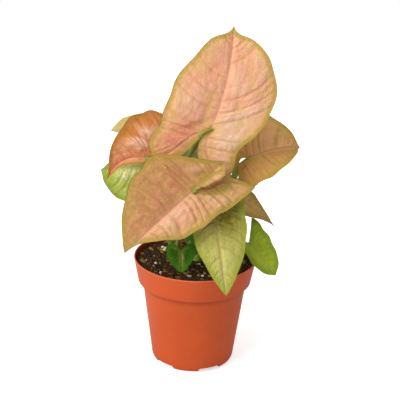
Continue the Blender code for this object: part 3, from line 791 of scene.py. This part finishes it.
def bent_half(leaf, side, flat, along, across):
    """Bends one flat half along its arch, folds it at the midrib and waves its margin. In mm, in place."""
    x, y = flat[..., 0], flat[..., 1]
    width = leaf.width[side]
    share = y / leaf_length(leaf)
    arch = radians(leaf.arch)
    fore = share > 0
    turn = np.where(fore, arch * share, radians(leaf.droop[side]) * y / leaf.lobe[side])
    reach = y * np.sinc(turn / tau) / np.where(fore, np.sinc(arch / tau), 1.0)
    tilt = arch / 2 - turn
    lift = np.radians(leaf.fold[side] + leaf.curl[side] * x / width / 2)
    lift = np.where(x > 0, lift, radians(180 - leaf.tuck[side]))
    out = np.abs(x) * np.cos(lift) * (1 if side else -1)
    wave = np.sin(pi * along) * np.sin(WAVES * along + 2 * side)
    rise = np.abs(x) * np.sin(lift) + leaf.ruffle * wave[:, None] * across[None, :] ** 2
    crumple = np.sin(70 * along) + 0.5 * np.sin(131 * along + 1)
    rise += 0.9 * leaf.ruffle * crumple[:, None] * np.clip(-x / 6, 0, 1)
    sweep = 4 * leaf.sweep * share * (1 - np.abs(share))
    local = np.stack(
        [
            out + sweep,
            reach * np.cos((arch - turn) / 2) - rise * np.sin(tilt),
            reach * np.sin((arch - turn) / 2) + rise * np.cos(tilt),
        ],
        axis=-1,
    )
    return np.array(leaf.stalk, float) + local @ np.array([list(axis) for axis in leaf_axes(leaf)])


WAVES = 18


def half_index(rows, columns):
    """Numbers the points of both halves, which share the midrib, the tip and the ends of the lobes."""
    knot = rows * STALK_KNOT // OUTLINE_STEPS
    index = np.zeros((2, rows + 1, columns + 1), int)
    count = 0
    for side in (0, 1):
        for row in range(rows + 1):
            for column in range(columns + 1):
                if side and (row == rows or (column == 0 and row >= knot)):
                    index[side, row, column] = index[0, row, column]
                elif column and row in (0, rows):
                    index[side, row, column] = index[side, row, 0]
                else:
                    index[side, row, column] = count
                    count += 1
    return index, count


def half_faces(index):
    """The faces of both halves, seen from above, without the corners that fall together."""
    faces = []
    for side in (0, 1):
        grid = index[side]
        corners = np.stack([grid[:-1, :-1], grid[:-1, 1:], grid[1:, 1:], grid[1:, :-1]], axis=-1).reshape(-1, 4)
        if side == 0:
            corners = corners[:, ::-1]
        for face in corners.tolist():
            kept = list(dict.fromkeys(face))
            if len(kept) > 2:
                faces.append(kept)
    return faces


def leaf_rim(index):
    """The points round the leaf in order: down the right margin, round the notch and up the left margin."""
    rows = index.shape[1] - 1
    knot = rows * STALK_KNOT // OUTLINE_STEPS
    path = [
        *index[1, ::-1, -1],
        *index[1, 1 : knot + 1, 0],
        *index[0, knot - 1 :: -1, 0],
        *index[0, 1:rows, -1],
    ]
    return [int(point) for point in path]


def point_normals(points, faces):
    """The way up at each point of a sheet."""
    normals = np.zeros_like(points)
    for size in (3, 4):
        corners = np.array([face for face in faces if len(face) == size], int)
        if len(corners) == 0:
            continue
        across = points[corners[:, 2]] - points[corners[:, 0]]
        along = points[corners[:, -1]] - points[corners[:, 1]]
        if size == 3:
            along = points[corners[:, 2]] - points[corners[:, 1]]
            across = points[corners[:, 1]] - points[corners[:, 0]]
        facing = np.cross(across, along)
        for corner in corners.T:
            np.add.at(normals, corner, facing)
    return normals / np.maximum(np.linalg.norm(normals, axis=1, keepdims=True), 1e-9)


def way_to_line(points, line):
    """The shortest way in the plane from each point to a line of points."""
    starts = line[:-1]
    runs = line[1:] - starts
    squares = np.maximum((runs * runs).sum(axis=1), 1e-9)
    nearest = np.full(len(points), np.inf)
    for start, run, square in zip(starts, runs, squares):
        part = np.clip(((points - start) @ run) / square, 0, 1)
        away = points - start - part[:, None] * run
        nearest = np.minimum(nearest, (away * away).sum(axis=1))
    return np.sqrt(nearest)


def soft_noise(places, grain, seed):
    """Smooth noise from -1 to 1 at places in mm, with bumps about a grain in size."""
    shift = Vector((seed * 3.1, seed * 7.7, seed * 1.9))
    return np.array([noise.noise(Vector((x / grain, y / grain, 0.0)) + shift) for x, y in places])


def puckers(places, seed):
    """How far each place lies from the creases between cells of about one unit: 0 on a crease, 1 well inside."""
    shift = Vector((seed * 3.1, seed * 7.7, seed * 1.9))
    apart = []
    for x, y in places:
        nearest, second = noise.voronoi(Vector((x, y, 0.0)) + shift)[0][:2]
        apart.append(second - nearest)
    return eased(np.array(apart), 0.0, 0.45)


def leaf_mesh(leaf, look, number, settings):
    """One leaf as a thin closed skin, with the places that its material reads kept on its points."""
    rows, columns = look.rows, look.columns
    along = np.linspace(0, 1, rows + 1)
    across = np.linspace(0, 1, columns + 1)
    index, count = half_index(rows, columns)
    flat_xy = np.zeros((count, 2))
    points = np.zeros((count, 3))
    places = np.zeros((count, 3))
    rib_way = np.zeros(count)
    runs = np.zeros(count)
    sides = np.zeros(count)
    knot = STALK_KNOT / OUTLINE_STEPS
    for side in (1, 0):
        flat = flat_half(leaf, side, along, across)
        spot = index[side].ravel()
        points[spot] = bent_half(leaf, side, flat, along, across).reshape(-1, 3)
        signed = flat.reshape(-1, 2) * ((1 if side else -1), 1)
        flat_xy[spot] = signed
        wander = 0.30 * np.sin(2.1 * look.veins * along + 1.7 * side + number)
        number_of_vein = (along - knot) * look.veins + wander - 0.30 * sin(2.1 * look.veins * knot + number)
        pitch = np.linalg.norm(np.gradient(flat, along, axis=0), axis=-1) / look.veins
        grid = np.stack(
            [
                np.repeat(number_of_vein[:, None], columns + 1, 1),
                np.repeat(across[None, :], rows + 1, 0),
                pitch,
            ],
            axis=-1,
        )
        places[spot] = grid.reshape(-1, 3)
        rib_share = RIB_SHARE * (1 - np.clip(along / knot, 0, 1)) ** 0.8
        width = np.linalg.norm(flat[:, -1] - flat[:, 0], axis=-1)
        runs[spot] = (across[None, :] * width[:, None]).ravel()
        way = (across[None, :] - rib_share[:, None]) * width[:, None]
        way = np.where(along[:, None] > knot, 20.0 * (along[:, None] - knot) + np.abs(flat[..., 0]), way)
        rib_way[spot] = way.ravel()
        sides[spot] = side
    faces = half_faces(index)
    rim = leaf_rim(index)
    outline = flat_xy[rim + rim[:1]]
    edge = way_to_line(flat_xy, outline)
    up = point_normals(points, faces)

    quilt = np.where(sides > 0.5, look.quilt[1], look.quilt[0]) * settings.relief
    gap = np.abs(places[:, 0] - np.round(places[:, 0])) * places[:, 2]
    x = np.abs(flat_xy[:, 0])
    ahead = flat_xy[:, 1]
    pillow = 1 - np.exp(-((gap / 1.5) ** 2))
    pillow *= 1 - np.exp(-((rib_way / 1.6) ** 2))
    pillow *= np.where(ahead > 0, 1 - np.exp(-((x / 2.2) ** 2)), 1)
    ripple = np.cos(tau * 3 * places[:, 0] + 2 * soft_noise(flat_xy, 9.0, number))
    pucker = puckers(np.column_stack([places[:, 0] * 1.5, runs / 6.5]), number) - 0.6
    dents = soft_noise(flat_xy, 6.0, number + 20)
    swell = soft_noise(flat_xy, 16.0, number + 40)
    inner = eased(edge, 0.0, 6.0)
    inward = eased(x, 0.0, 6.0)
    uneven = 0.08 * ripple + 0.40 * pucker + 0.35 * dents + 0.45 * swell
    shape = pillow * (0.8 + 0.5 * swell) - 0.45 + inward * uneven
    relief = quilt * inner * shape
    own = flat_xy[:, 0] * np.where(sides > 0.5, 1, -1)
    # Painted shade over the duller half of a leaf.
    dull = np.where(sides > 0.5, look.dull[1], look.dull[0]) * eased(own, 0.0, 2.0)
    # Painted light: the parts of a half that fold back past its midrib are made lighter.
    light = 1.25 * eased(own, 0.0, -3.0)
    # Each mark adds painted shade and a lighter colour, and lifts or sinks the relief.
    for mark in look.marks:
        turned_x, turned_y = cos(radians(mark.turn)), sin(radians(mark.turn))
        way = flat_xy - (mark.x, mark.y)
        far = (way @ (turned_x, turned_y) / mark.long) ** 2 + (way @ (-turned_y, turned_x) / mark.wide) ** 2
        soft = np.exp(-far)
        dull = dull + mark.dull * soft
        light = light + mark.light * soft
        relief += mark.rise * settings.relief * soft * inner
    groove = np.exp(-((x / 0.9) ** 2)) * eased(ahead, -3.0, 2.0) * inner
    relief -= 0.35 * groove
    length = leaf_length(leaf)
    keel = np.exp(-((x / 1.1) ** 2)) * eased(ahead, -3.0, 1.0) * (1 - 0.8 * np.clip(ahead / length, 0, 1))
    thick = settings.thickness / MM * (0.45 + 0.55 * eased(edge, 0.0, 2.5)) + 0.9 * keel * inner
    top = points + up * relief[:, None]
    bottom = top - up * thick[:, None]

    shell = [*faces, *([point + count for point in reversed(face)] for face in faces)]
    shell += [[a + count, b + count, b, a] for a, b in zip(rim, rim[1:] + rim[:1])]
    mesh = smooth_mesh(leaf.name, np.vstack([top, bottom]), shell)
    under = np.repeat([0.0, 1.0], count)
    twice = np.vstack([flat_xy, flat_xy])
    keep_places(mesh, "leaf_xy", np.column_stack([twice, np.tile(sides, 2)]))
    keep_places(mesh, "leaf_rows", np.tile(places, (2, 1)))
    keep_places(mesh, "leaf_zone", np.column_stack([np.tile(edge, 2), np.tile(rib_way, 2), under]))
    keep_places(mesh, "leaf_marks", np.tile(np.column_stack([dull, light, shape * inner]), (2, 1)))
    return mesh


RIB_SHARE = 0.42


def keep_places(mesh, name, values):
    """Keeps a vector for each point of a mesh, for its material to read."""
    attribute = mesh.attributes.new(name, "FLOAT_VECTOR", "POINT")
    attribute.data.foreach_set("vector", np.ascontiguousarray(values, np.float32).ravel())


def stalk_route(plantlet, leaf, number):
    """A leaf stalk's points in mm, from its root stock to the underside of its leaf, and its radii there."""
    upward = seat_normal(leaf)
    top = Vector(leaf.stalk)
    foot = Vector((*plantlet.foot, SOIL_TOP + STOCK_RISE * (0.3 + 0.15 * number)))
    neck = top - upward * (1.1 + STALK_NECK)
    bends, thick = STALK_BENDS.get(leaf.name, ([neck], STALK_RADII[2:3]))
    radii = [*STALK_RADII[:2], *thick, STALK_RADII[3]]
    return [foot, Vector(plantlet.stalks[leaf.name]), *bends, top - upward * 0.5], radii


def tube(route, radii, sides=20, steps=10):
    """A round tapered tube through points in mm, with rounded ends, as points and faces."""
    curve = bpy.data.curves.new("tube", "CURVE")
    curve.dimensions = "3D"
    curve.bevel_depth = MM
    curve.bevel_resolution = sides // 4
    curve.resolution_u = steps
    curve.use_fill_caps = True
    knots = curve.splines.new("BEZIER").bezier_points
    knots.add(len(route) - 1)
    for knot, place, radius in zip(knots, route, radii):
        knot.co = Vector(place) * MM
        knot.radius = radius
        knot.handle_left_type = "AUTO"
        knot.handle_right_type = "AUTO"
    holder = bpy.data.objects.new("tube", curve)
    bpy.context.scene.collection.objects.link(holder)
    mesh = bpy.data.meshes.new_from_object(holder.evaluated_get(bpy.context.evaluated_depsgraph_get()))
    bpy.data.objects.remove(holder)
    bpy.data.curves.remove(curve)
    return mesh


def join_meshes(name, meshes):
    """One smooth mesh out of several, which are used up."""
    bm = bmesh.new()
    for mesh in meshes:
        bm.from_mesh(mesh)
        bpy.data.meshes.remove(mesh)
    bmesh.ops.remove_doubles(bm, verts=bm.verts, dist=0.002 * MM)
    joined = bpy.data.meshes.new(name)
    bm.to_mesh(joined)
    bm.free()
    joined.shade_smooth()
    return joined


def lump_mesh(name, places, sizes, draw, detail, roughness, flatness=1.0):
    """Many small rough lumps at places in mm, each turned its own way, as one mesh."""
    bm = bmesh.new()
    for place, size in zip(places, sizes):
        turn = Matrix.Rotation(draw.uniform(0, tau), 4, "Z") @ Matrix.Rotation(draw.uniform(-0.5, 0.5), 4, "X")
        stretch = (draw.uniform(0.8, 1.5), draw.uniform(0.7, 1.1), flatness * draw.uniform(0.6, 1.0))
        made = bmesh.ops.create_icosphere(bm, subdivisions=detail, radius=1.0)
        shift = Vector(draw.uniform(0, 90, 3))
        for vert in made["verts"]:
            bulge = 1 + roughness * noise.noise(vert.co * 1.6 + shift)
            corner = Vector([part * bulge * side * size for part, side in zip(vert.co, stretch)])
            vert.co = (Vector(place) + turn @ corner) * MM
    mesh = bpy.data.meshes.new(name)
    bm.to_mesh(mesh)
    bm.free()
    mesh.shade_smooth()
    return mesh


def mix_height(x, y):
    """The height in mm of the potting mix at a place in mm: clods, banked up a little against the pot."""
    away = np.hypot(x, y)
    edge = max(0.0, 1 - (away / SOIL_EDGE) ** 6)
    broad = noise.noise(Vector((x / 16, y / 16, 4.0)))
    clod = noise.noise(Vector((x / 5, y / 5, 8.0)))
    crumb = noise.noise(Vector((x / 1.8, y / 1.8, 2.0)))
    bank = SOIL_BANK * eased(away, 28.0, 48.0)
    return SOIL_TOP + bank + 0.8 + edge * (1.6 * broad + 1.1 * abs(clod) + 0.45 * crumb) - 0.8 * (1 - edge)


def scatter(draw, count):
    """Random places in mm on top of the potting mix, kept off the root stocks."""
    places = []
    while len(places) < count:
        radius = (SOIL_EDGE - 2.0) * np.sqrt(draw.uniform())
        angle = draw.uniform(0, tau)
        x, y = radius * cos(angle), radius * sin(angle)
        if all(np.hypot(x - plantlet.foot[0], y - plantlet.foot[1]) > 5 for plantlet in PLANTLETS):
            places.append((x, y, mix_height(x, y)))
    return places


class PLANT_OT_pot(bpy.types.Operator):
    """Turn the pot's wall and cut the drain notches in its foot"""

    bl_idname = "plant.pot"
    bl_label = "Pot"

    def execute(self, context):
        settings = context.scene.plant_pot
        step = POT_HEIGHT - BAND_DEPTH
        low = step - STEP_DROP
        lip = settings.lip / MM
        bead = [
            (RIM_RADIUS - WALL / 2 + WALL / 2 * sin(turn), POT_HEIGHT - lip / 2 + lip / 2 * cos(turn))
            for turn in np.linspace(-pi / 2, pi / 2, 9)
        ]
        corner = [
            (FOOT_RADIUS + (BODY_FOOT_RADIUS - FOOT_RADIUS) * cos(turn), CORNER_HEIGHT * (1 - sin(turn)))
            for turn in np.linspace(0, pi / 2, 9)
        ]
        inside = [
            (0.0, FLOOR), (FOOT_RADIUS - 2, FLOOR), (FOOT_RADIUS, FLOOR + 0.6),
            (BODY_FOOT_RADIUS - WALL, CORNER_HEIGHT),
            (BODY_TOP_RADIUS - WALL, low + WALL), (BAND_FOOT_RADIUS - WALL, step + WALL),
        ]
        underside = [(FOOT_RADIUS - 1.2, 0.0), (FOOT_RADIUS - 4.0, 0.9), (0.0, 0.9)]
        band = [
            (RIM_RADIUS - 0.25, POT_HEIGHT - lip - 0.25), (BAND_FOOT_RADIUS + 0.15, step + 0.9),
            (BAND_FOOT_RADIUS, step + 0.45), (BAND_FOOT_RADIUS - 0.35, step + 0.1),
            (BAND_FOOT_RADIUS - 0.9, step), (BODY_TOP_RADIUS + 0.8, low + 0.15),
            (BODY_TOP_RADIUS + 0.2, low - 0.2), (BODY_TOP_RADIUS, low - 0.8),
        ]
        profile = [*inside, *bead, *band, *corner, *underside]
        pot = turned("pot_shell", profile, settings.sides)
        for number in range(DRAIN_COUNT):
            cut_notch(pot, DRAIN_FIRST_ANGLE + number * tau / DRAIN_COUNT)
        mesh = bpy.data.meshes.new_from_object(pot.evaluated_get(context.evaluated_depsgraph_get()))
        for old in [pot, *[cutter for cutter in bpy.data.objects if cutter.name.startswith("notch_cutter")]]:
            bpy.data.objects.remove(old)
        mesh.set_sharp_from_angle(angle=radians(40))
        add_piece("pot_shell", mesh, plastic_material(settings), "pot", "pot")
        return {"FINISHED"}


def turned(name, profile, sides):
    """An object of a profile in mm turned round the upright axis."""
    mesh = bpy.data.meshes.new(name)
    links = [(start, start + 1) for start in range(len(profile) - 1)]
    mesh.from_pydata([(x * MM, 0.0, z * MM) for x, z in profile], links, [])
    piece = bpy.data.objects.new(name, mesh)
    bpy.context.scene.collection.objects.link(piece)
    screw = piece.modifiers.new("turn", "SCREW")
    screw.steps = screw.render_steps = sides
    screw.use_merge_vertices = True
    screw.merge_threshold = 0.00001
    screw.use_normal_flip = False
    screw.use_smooth_shade = True
    return piece


def cut_notch(pot, angle):
    """Cuts one rounded drain notch into the foot of the pot."""
    bm = bmesh.new()
    bmesh.ops.create_cube(bm, size=1.0)
    bmesh.ops.scale(bm, vec=(15 * MM, DRAIN_WIDTH * MM, 2 * DRAIN_HEIGHT * MM), verts=bm.verts)
    upright = [edge for edge in bm.edges if abs(edge.verts[0].co.z + edge.verts[1].co.z) > DRAIN_HEIGHT * MM]
    crown = [edge for edge in upright if edge.verts[0].co.z > 0 and abs(edge.verts[0].co.x - edge.verts[1].co.x) > MM]
    bmesh.ops.bevel(bm, geom=crown, offset=1.6 * MM, segments=5, profile=0.5, affect="EDGES")
    mesh = bpy.data.meshes.new("notch_cutter")
    bm.to_mesh(mesh)
    bm.free()
    cutter = bpy.data.objects.new("notch_cutter", mesh)
    bpy.context.scene.collection.objects.link(cutter)
    middle = DRAIN_INNER_RADIUS + 7.5
    cutter.location = (middle * cos(angle) * MM, middle * sin(angle) * MM, 0.0)
    cutter.rotation_euler = (0.0, 0.0, angle)
    cut = pot.modifiers.new("notch", "BOOLEAN")
    cut.object = cutter
    cut.operation = "DIFFERENCE"
    cut.solver = "EXACT"


class PLANT_OT_soil(bpy.types.Operator):
    """Fill the pot with a mound of potting mix"""

    bl_idname = "plant.soil"
    bl_label = "Potting mix"

    def execute(self, context):
        settings = context.scene.plant_soil
        rings, spokes = 90, 240
        step = POT_HEIGHT - BAND_DEPTH
        wall = WALL + GAP
        lining = [
            (BAND_FOOT_RADIUS - wall, step + WALL), (BODY_TOP_RADIUS - wall, step - STEP_DROP + WALL),
            (BODY_FOOT_RADIUS - wall, CORNER_HEIGHT), (FOOT_RADIUS - GAP, FLOOR + GAP),
        ]
        circle = [(cos(tau * spoke / spokes), sin(tau * spoke / spokes)) for spoke in range(spokes)]
        points = [(0.0, 0.0, mix_height(0.0, 0.0))]
        for ring in range(1, rings + 1):
            radius = SOIL_EDGE * ring / rings
            points += [(x * radius, y * radius, mix_height(x * radius, y * radius)) for x, y in circle]
        for radius, height in lining:
            points += [(x * radius, y * radius, height) for x, y in circle]
        points.append((0.0, 0.0, FLOOR + GAP))
        faces = [[0, 1 + spoke, 1 + (spoke + 1) % spokes] for spoke in range(spokes)]
        for ring in range(rings + len(lining) - 1):
            start = 1 + ring * spokes
            for spoke in range(spokes):
                after = (spoke + 1) % spokes
                faces.append([start + spoke, start + spokes + spoke, start + spokes + after, start + after])
        bottom = len(points) - 1
        start = bottom - spokes
        faces += [[start + (spoke + 1) % spokes, start + spoke, bottom] for spoke in range(spokes)]
        mesh = smooth_mesh("potting_mix", points, faces)
        add_piece("potting_mix", mesh, peat_material(settings), "soil", "soil")
        return {"FINISHED"}


class PLANT_OT_grit(bpy.types.Operator):
    """Scatter crumbs, bark and perlite over the potting mix"""

    bl_idname = "plant.grit"
    bl_label = "Loose bits"

    def execute(self, context):
        settings = context.scene.plant_soil
        draw = np.random.default_rng(settings.seed)
        sizes = 0.6 + 1.3 * draw.random(settings.clods) ** 2
        mesh = lump_mesh("peat_crumbs", scatter(draw, settings.clods), sizes, draw, 2, 0.9)
        add_piece("peat_crumbs", mesh, crumb_material("crumbs", (0.020, 0.011, 0.004), (0.10, 0.052, 0.018), 700.0, 0.9), "soil")
        sizes = 0.9 + 2.5 * draw.random(settings.bark) ** 2
        mesh = lump_mesh("bark_chips", scatter(draw, settings.bark), sizes, draw, 2, 0.8, 0.35)
        add_piece("bark_chips", mesh, crumb_material("bark", (0.12, 0.055, 0.012), (0.42, 0.23, 0.07), 500.0, 0.85), "soil")
        places = [(x, y, mix_height(x, y) + 0.5) for x, y in PERLITE_SEEN] + scatter(draw, settings.perlite)
        sizes = [*[1.9] * 4, *[1.3] * (len(PERLITE_SEEN) - 4), *(0.4 + 0.8 * draw.random(settings.perlite) ** 2)]
        mesh = lump_mesh("perlite", places, sizes, draw, 2, 0.7)
        add_piece("perlite", mesh, crumb_material("perlite", (0.56, 0.49, 0.34), (0.95, 0.90, 0.76), 900.0, 0.8), "soil")
        return {"FINISHED"}


# Grains of perlite that the photo shows, in mm
PERLITE_SEEN = [
    (-27, 21), (-29, 25), (-26, 24), (-24, 20), (-34, -7), (-29, -28), (4, -4), (-4, -30), (7, -29), (33, -23),
]


class PLANT_OT_stems(bpy.types.Operator):
    """Grow the root stocks and the leaf stalks"""

    bl_idname = "plant.stems"
    bl_label = "Stems"

    def execute(self, context):
        skin = stalk_material(context.scene.plant_leaves)
        for plantlet in PLANTLETS:
            x, y = plantlet.foot
            ends = [(x, y, SOIL_TOP - 8), (x, y, SOIL_TOP + 2), (x, y, SOIL_TOP + STOCK_RISE)]
            parts = [tube(ends, (STOCK_RADII[0], STOCK_RADII[0], STOCK_RADII[1]), 24, 6)]
            leaves = [leaf for leaf in LEAVES if leaf.name in plantlet.stalks]
            for number, leaf in enumerate(leaves):
                parts.append(tube(*stalk_route(plantlet, leaf, number), 20, 14))
            parts += [tube(route, radii, 20, 10) for route, radii in STALK_ENDS.get(plantlet.name, [])]
            mesh = join_meshes(plantlet.name + "_fine", parts)
            add_piece(plantlet.name + "_fine", mesh, skin, "stems", plantlet.name)
        return {"FINISHED"}


class PLANT_OT_leaves(bpy.types.Operator):
    """Shape the leaves with their veins, pillows and waved edges"""

    bl_idname = "plant.leaves"
    bl_label = "Leaves"

    def execute(self, context):
        settings = context.scene.plant_leaves
        for number, leaf in enumerate([*LEAVES, BRACT]):
            look = LOOKS[leaf.name]
            mesh = leaf_mesh(leaf, look, number, settings)
            material = leaf_material(leaf.name + "_skin", TINTS[look.tint])
            nodes = [leaf.name] if leaf in LEAVES else []
            add_piece(leaf.name.replace("blade", "leaf"), mesh, material, look.slot, *nodes)
        return {"FINISHED"}


class PLANT_OT_stage(bpy.types.Operator):
    """Set the floor, the lights and the camera"""

    bl_idname = "plant.stage"
    bl_label = "Stage"

    def execute(self, context):
        settings = context.scene.plant_stage
        add_floor()
        add_world(settings)
        add_area_light("key_light", (-1.25, -1.05, 1.25), 1.5, settings.key, (1.0, 0.985, 0.96))
        add_area_light("top_light", (0.15, 0.1, 1.6), 1.2, settings.key * 0.2, (1.0, 1.0, 1.0))
        add_camera(settings)
        context.scene.view_settings.view_transform = "Standard"
        return {"FINISHED"}


def add_floor():
    """A round sheet of white paper that lies just under the pot and glows a little, brightest at its edge."""
    mesh = bpy.data.meshes.new("floor")
    bm = bmesh.new()
    bmesh.ops.create_circle(bm, cap_ends=True, segments=FLOOR_SIDES, radius=FLOOR_RADIUS)
    bm.to_mesh(mesh)
    bm.free()
    floor = bpy.data.objects.new("floor", mesh)
    floor.location.z = -0.2 * MM
    bpy.context.scene.collection.objects.link(floor)
    material, tree, shader = new_material("floor_paper", 0.9, Specular_IOR_Level=0.0)
    place = tree.node("TexCoord", None, None, 3)
    away = place.node("VectorMath", {"operation": "LENGTH"}, {0: place}, 1)
    shade = noise_wire(tree, place, 3.0, 2.0)
    connect(tree, shade.blend((0.90, 0.90, 0.90), (0.93, 0.93, 0.93)), shader, "Base Color")
    seen = tree.node("LightPath")
    glow = (away.ramp(0.05, 0.8 * FLOOR_RADIUS) * 0.4 + 0.6) * seen
    connect(tree, glow.blend((0.0, 0.0, 0.0), (1.0, 1.0, 1.0)), shader, "Emission Color")
    shader.inputs["Emission Strength"].default_value = 1.0
    mesh.materials.append(material)


def add_world(settings):
    """White all round, dimmer as a light than as a background."""
    world = bpy.data.worlds.new("studio")
    world.use_nodes = True
    bpy.context.scene.world = world
    tree = Wire(world.node_tree)
    background = world.node_tree.nodes["Background"]
    background.inputs["Color"].default_value = (1.0, 1.0, 1.0, 1.0)
    seen = tree.node("LightPath")
    strength = settings.fill + seen * (1.0 - settings.fill)
    world.node_tree.links.new(strength.socket, background.inputs["Strength"])


def add_area_light(name, place, size, power, colour):
    """A square lamp that faces the plant."""
    light = bpy.data.lights.new(name, "AREA")
    light.size = size
    light.energy = power
    light.color = colour
    lamp = bpy.data.objects.new(name, light)
    bpy.context.scene.collection.objects.link(lamp)
    lamp.location = place
    aim = Vector((0.0, 0.0, 0.16)) - Vector(place)
    lamp.rotation_euler = aim.to_track_quat("-Z", "Y").to_euler()


def add_camera(settings):
    """The camera at the photo's angle, with its slight lean."""
    lean, tip = settings.roll, settings.elevation
    forward = Vector((0.0, cos(tip), -sin(tip)))
    right = Vector((1.0, 0.0, 0.0))
    up = Vector((0.0, sin(tip), cos(tip)))
    level = right * cos(lean) + up * sin(lean)
    upright = up * cos(lean) - right * sin(lean)
    data = bpy.data.cameras.new("camera")
    data.lens = settings.lens
    data.sensor_width = 36.0
    camera = bpy.data.objects.new("camera", data)
    bpy.context.scene.collection.objects.link(camera)
    turn = Matrix((level, upright, -forward)).transposed().to_4x4()
    camera.matrix_world = Matrix.Translation(Vector(settings.target) - forward * settings.distance) @ turn
    bpy.context.scene.camera = camera


class PLANT_PT_panel(bpy.types.Panel):
    """Buttons that build the plant, piece by piece"""

    bl_idname = "PLANT_PT_panel"
    bl_label = "Potted Arrowhead Plant"
    bl_space_type = "VIEW_3D"
    bl_region_type = "UI"
    bl_category = "Plant"

    def draw(self, context):
        for operator in OPERATORS:
            self.layout.operator(operator.bl_idname)
        for name in SETTINGS:
            group = getattr(context.scene, name)
            box = self.layout.box()
            for key in group.__annotations__:
                box.prop(group, key)


SETTINGS = {
    "plant_pot": PotSettings,
    "plant_soil": SoilSettings,
    "plant_leaves": LeafSettings,
    "plant_stage": StageSettings,
}
OPERATORS = [PLANT_OT_pot, PLANT_OT_soil, PLANT_OT_grit, PLANT_OT_stems, PLANT_OT_leaves, PLANT_OT_stage]
CLASSES = [*SETTINGS.values(), *OPERATORS, PLANT_PT_panel]


def register():
    for kind in CLASSES:
        bpy.utils.register_class(kind)
    for name, kind in SETTINGS.items():
        setattr(bpy.types.Scene, name, PointerProperty(type=kind))


def unregister():
    for name in SETTINGS:
        delattr(bpy.types.Scene, name)
    for kind in reversed(CLASSES):
        bpy.utils.unregister_class(kind)


def main():
    register()
    bpy.ops.plant.pot()
    bpy.ops.plant.soil()
    bpy.ops.plant.grit()
    bpy.ops.plant.stems()
    bpy.ops.plant.leaves()
    bpy.ops.plant.stage()


if __name__ == "__main__":
    main()
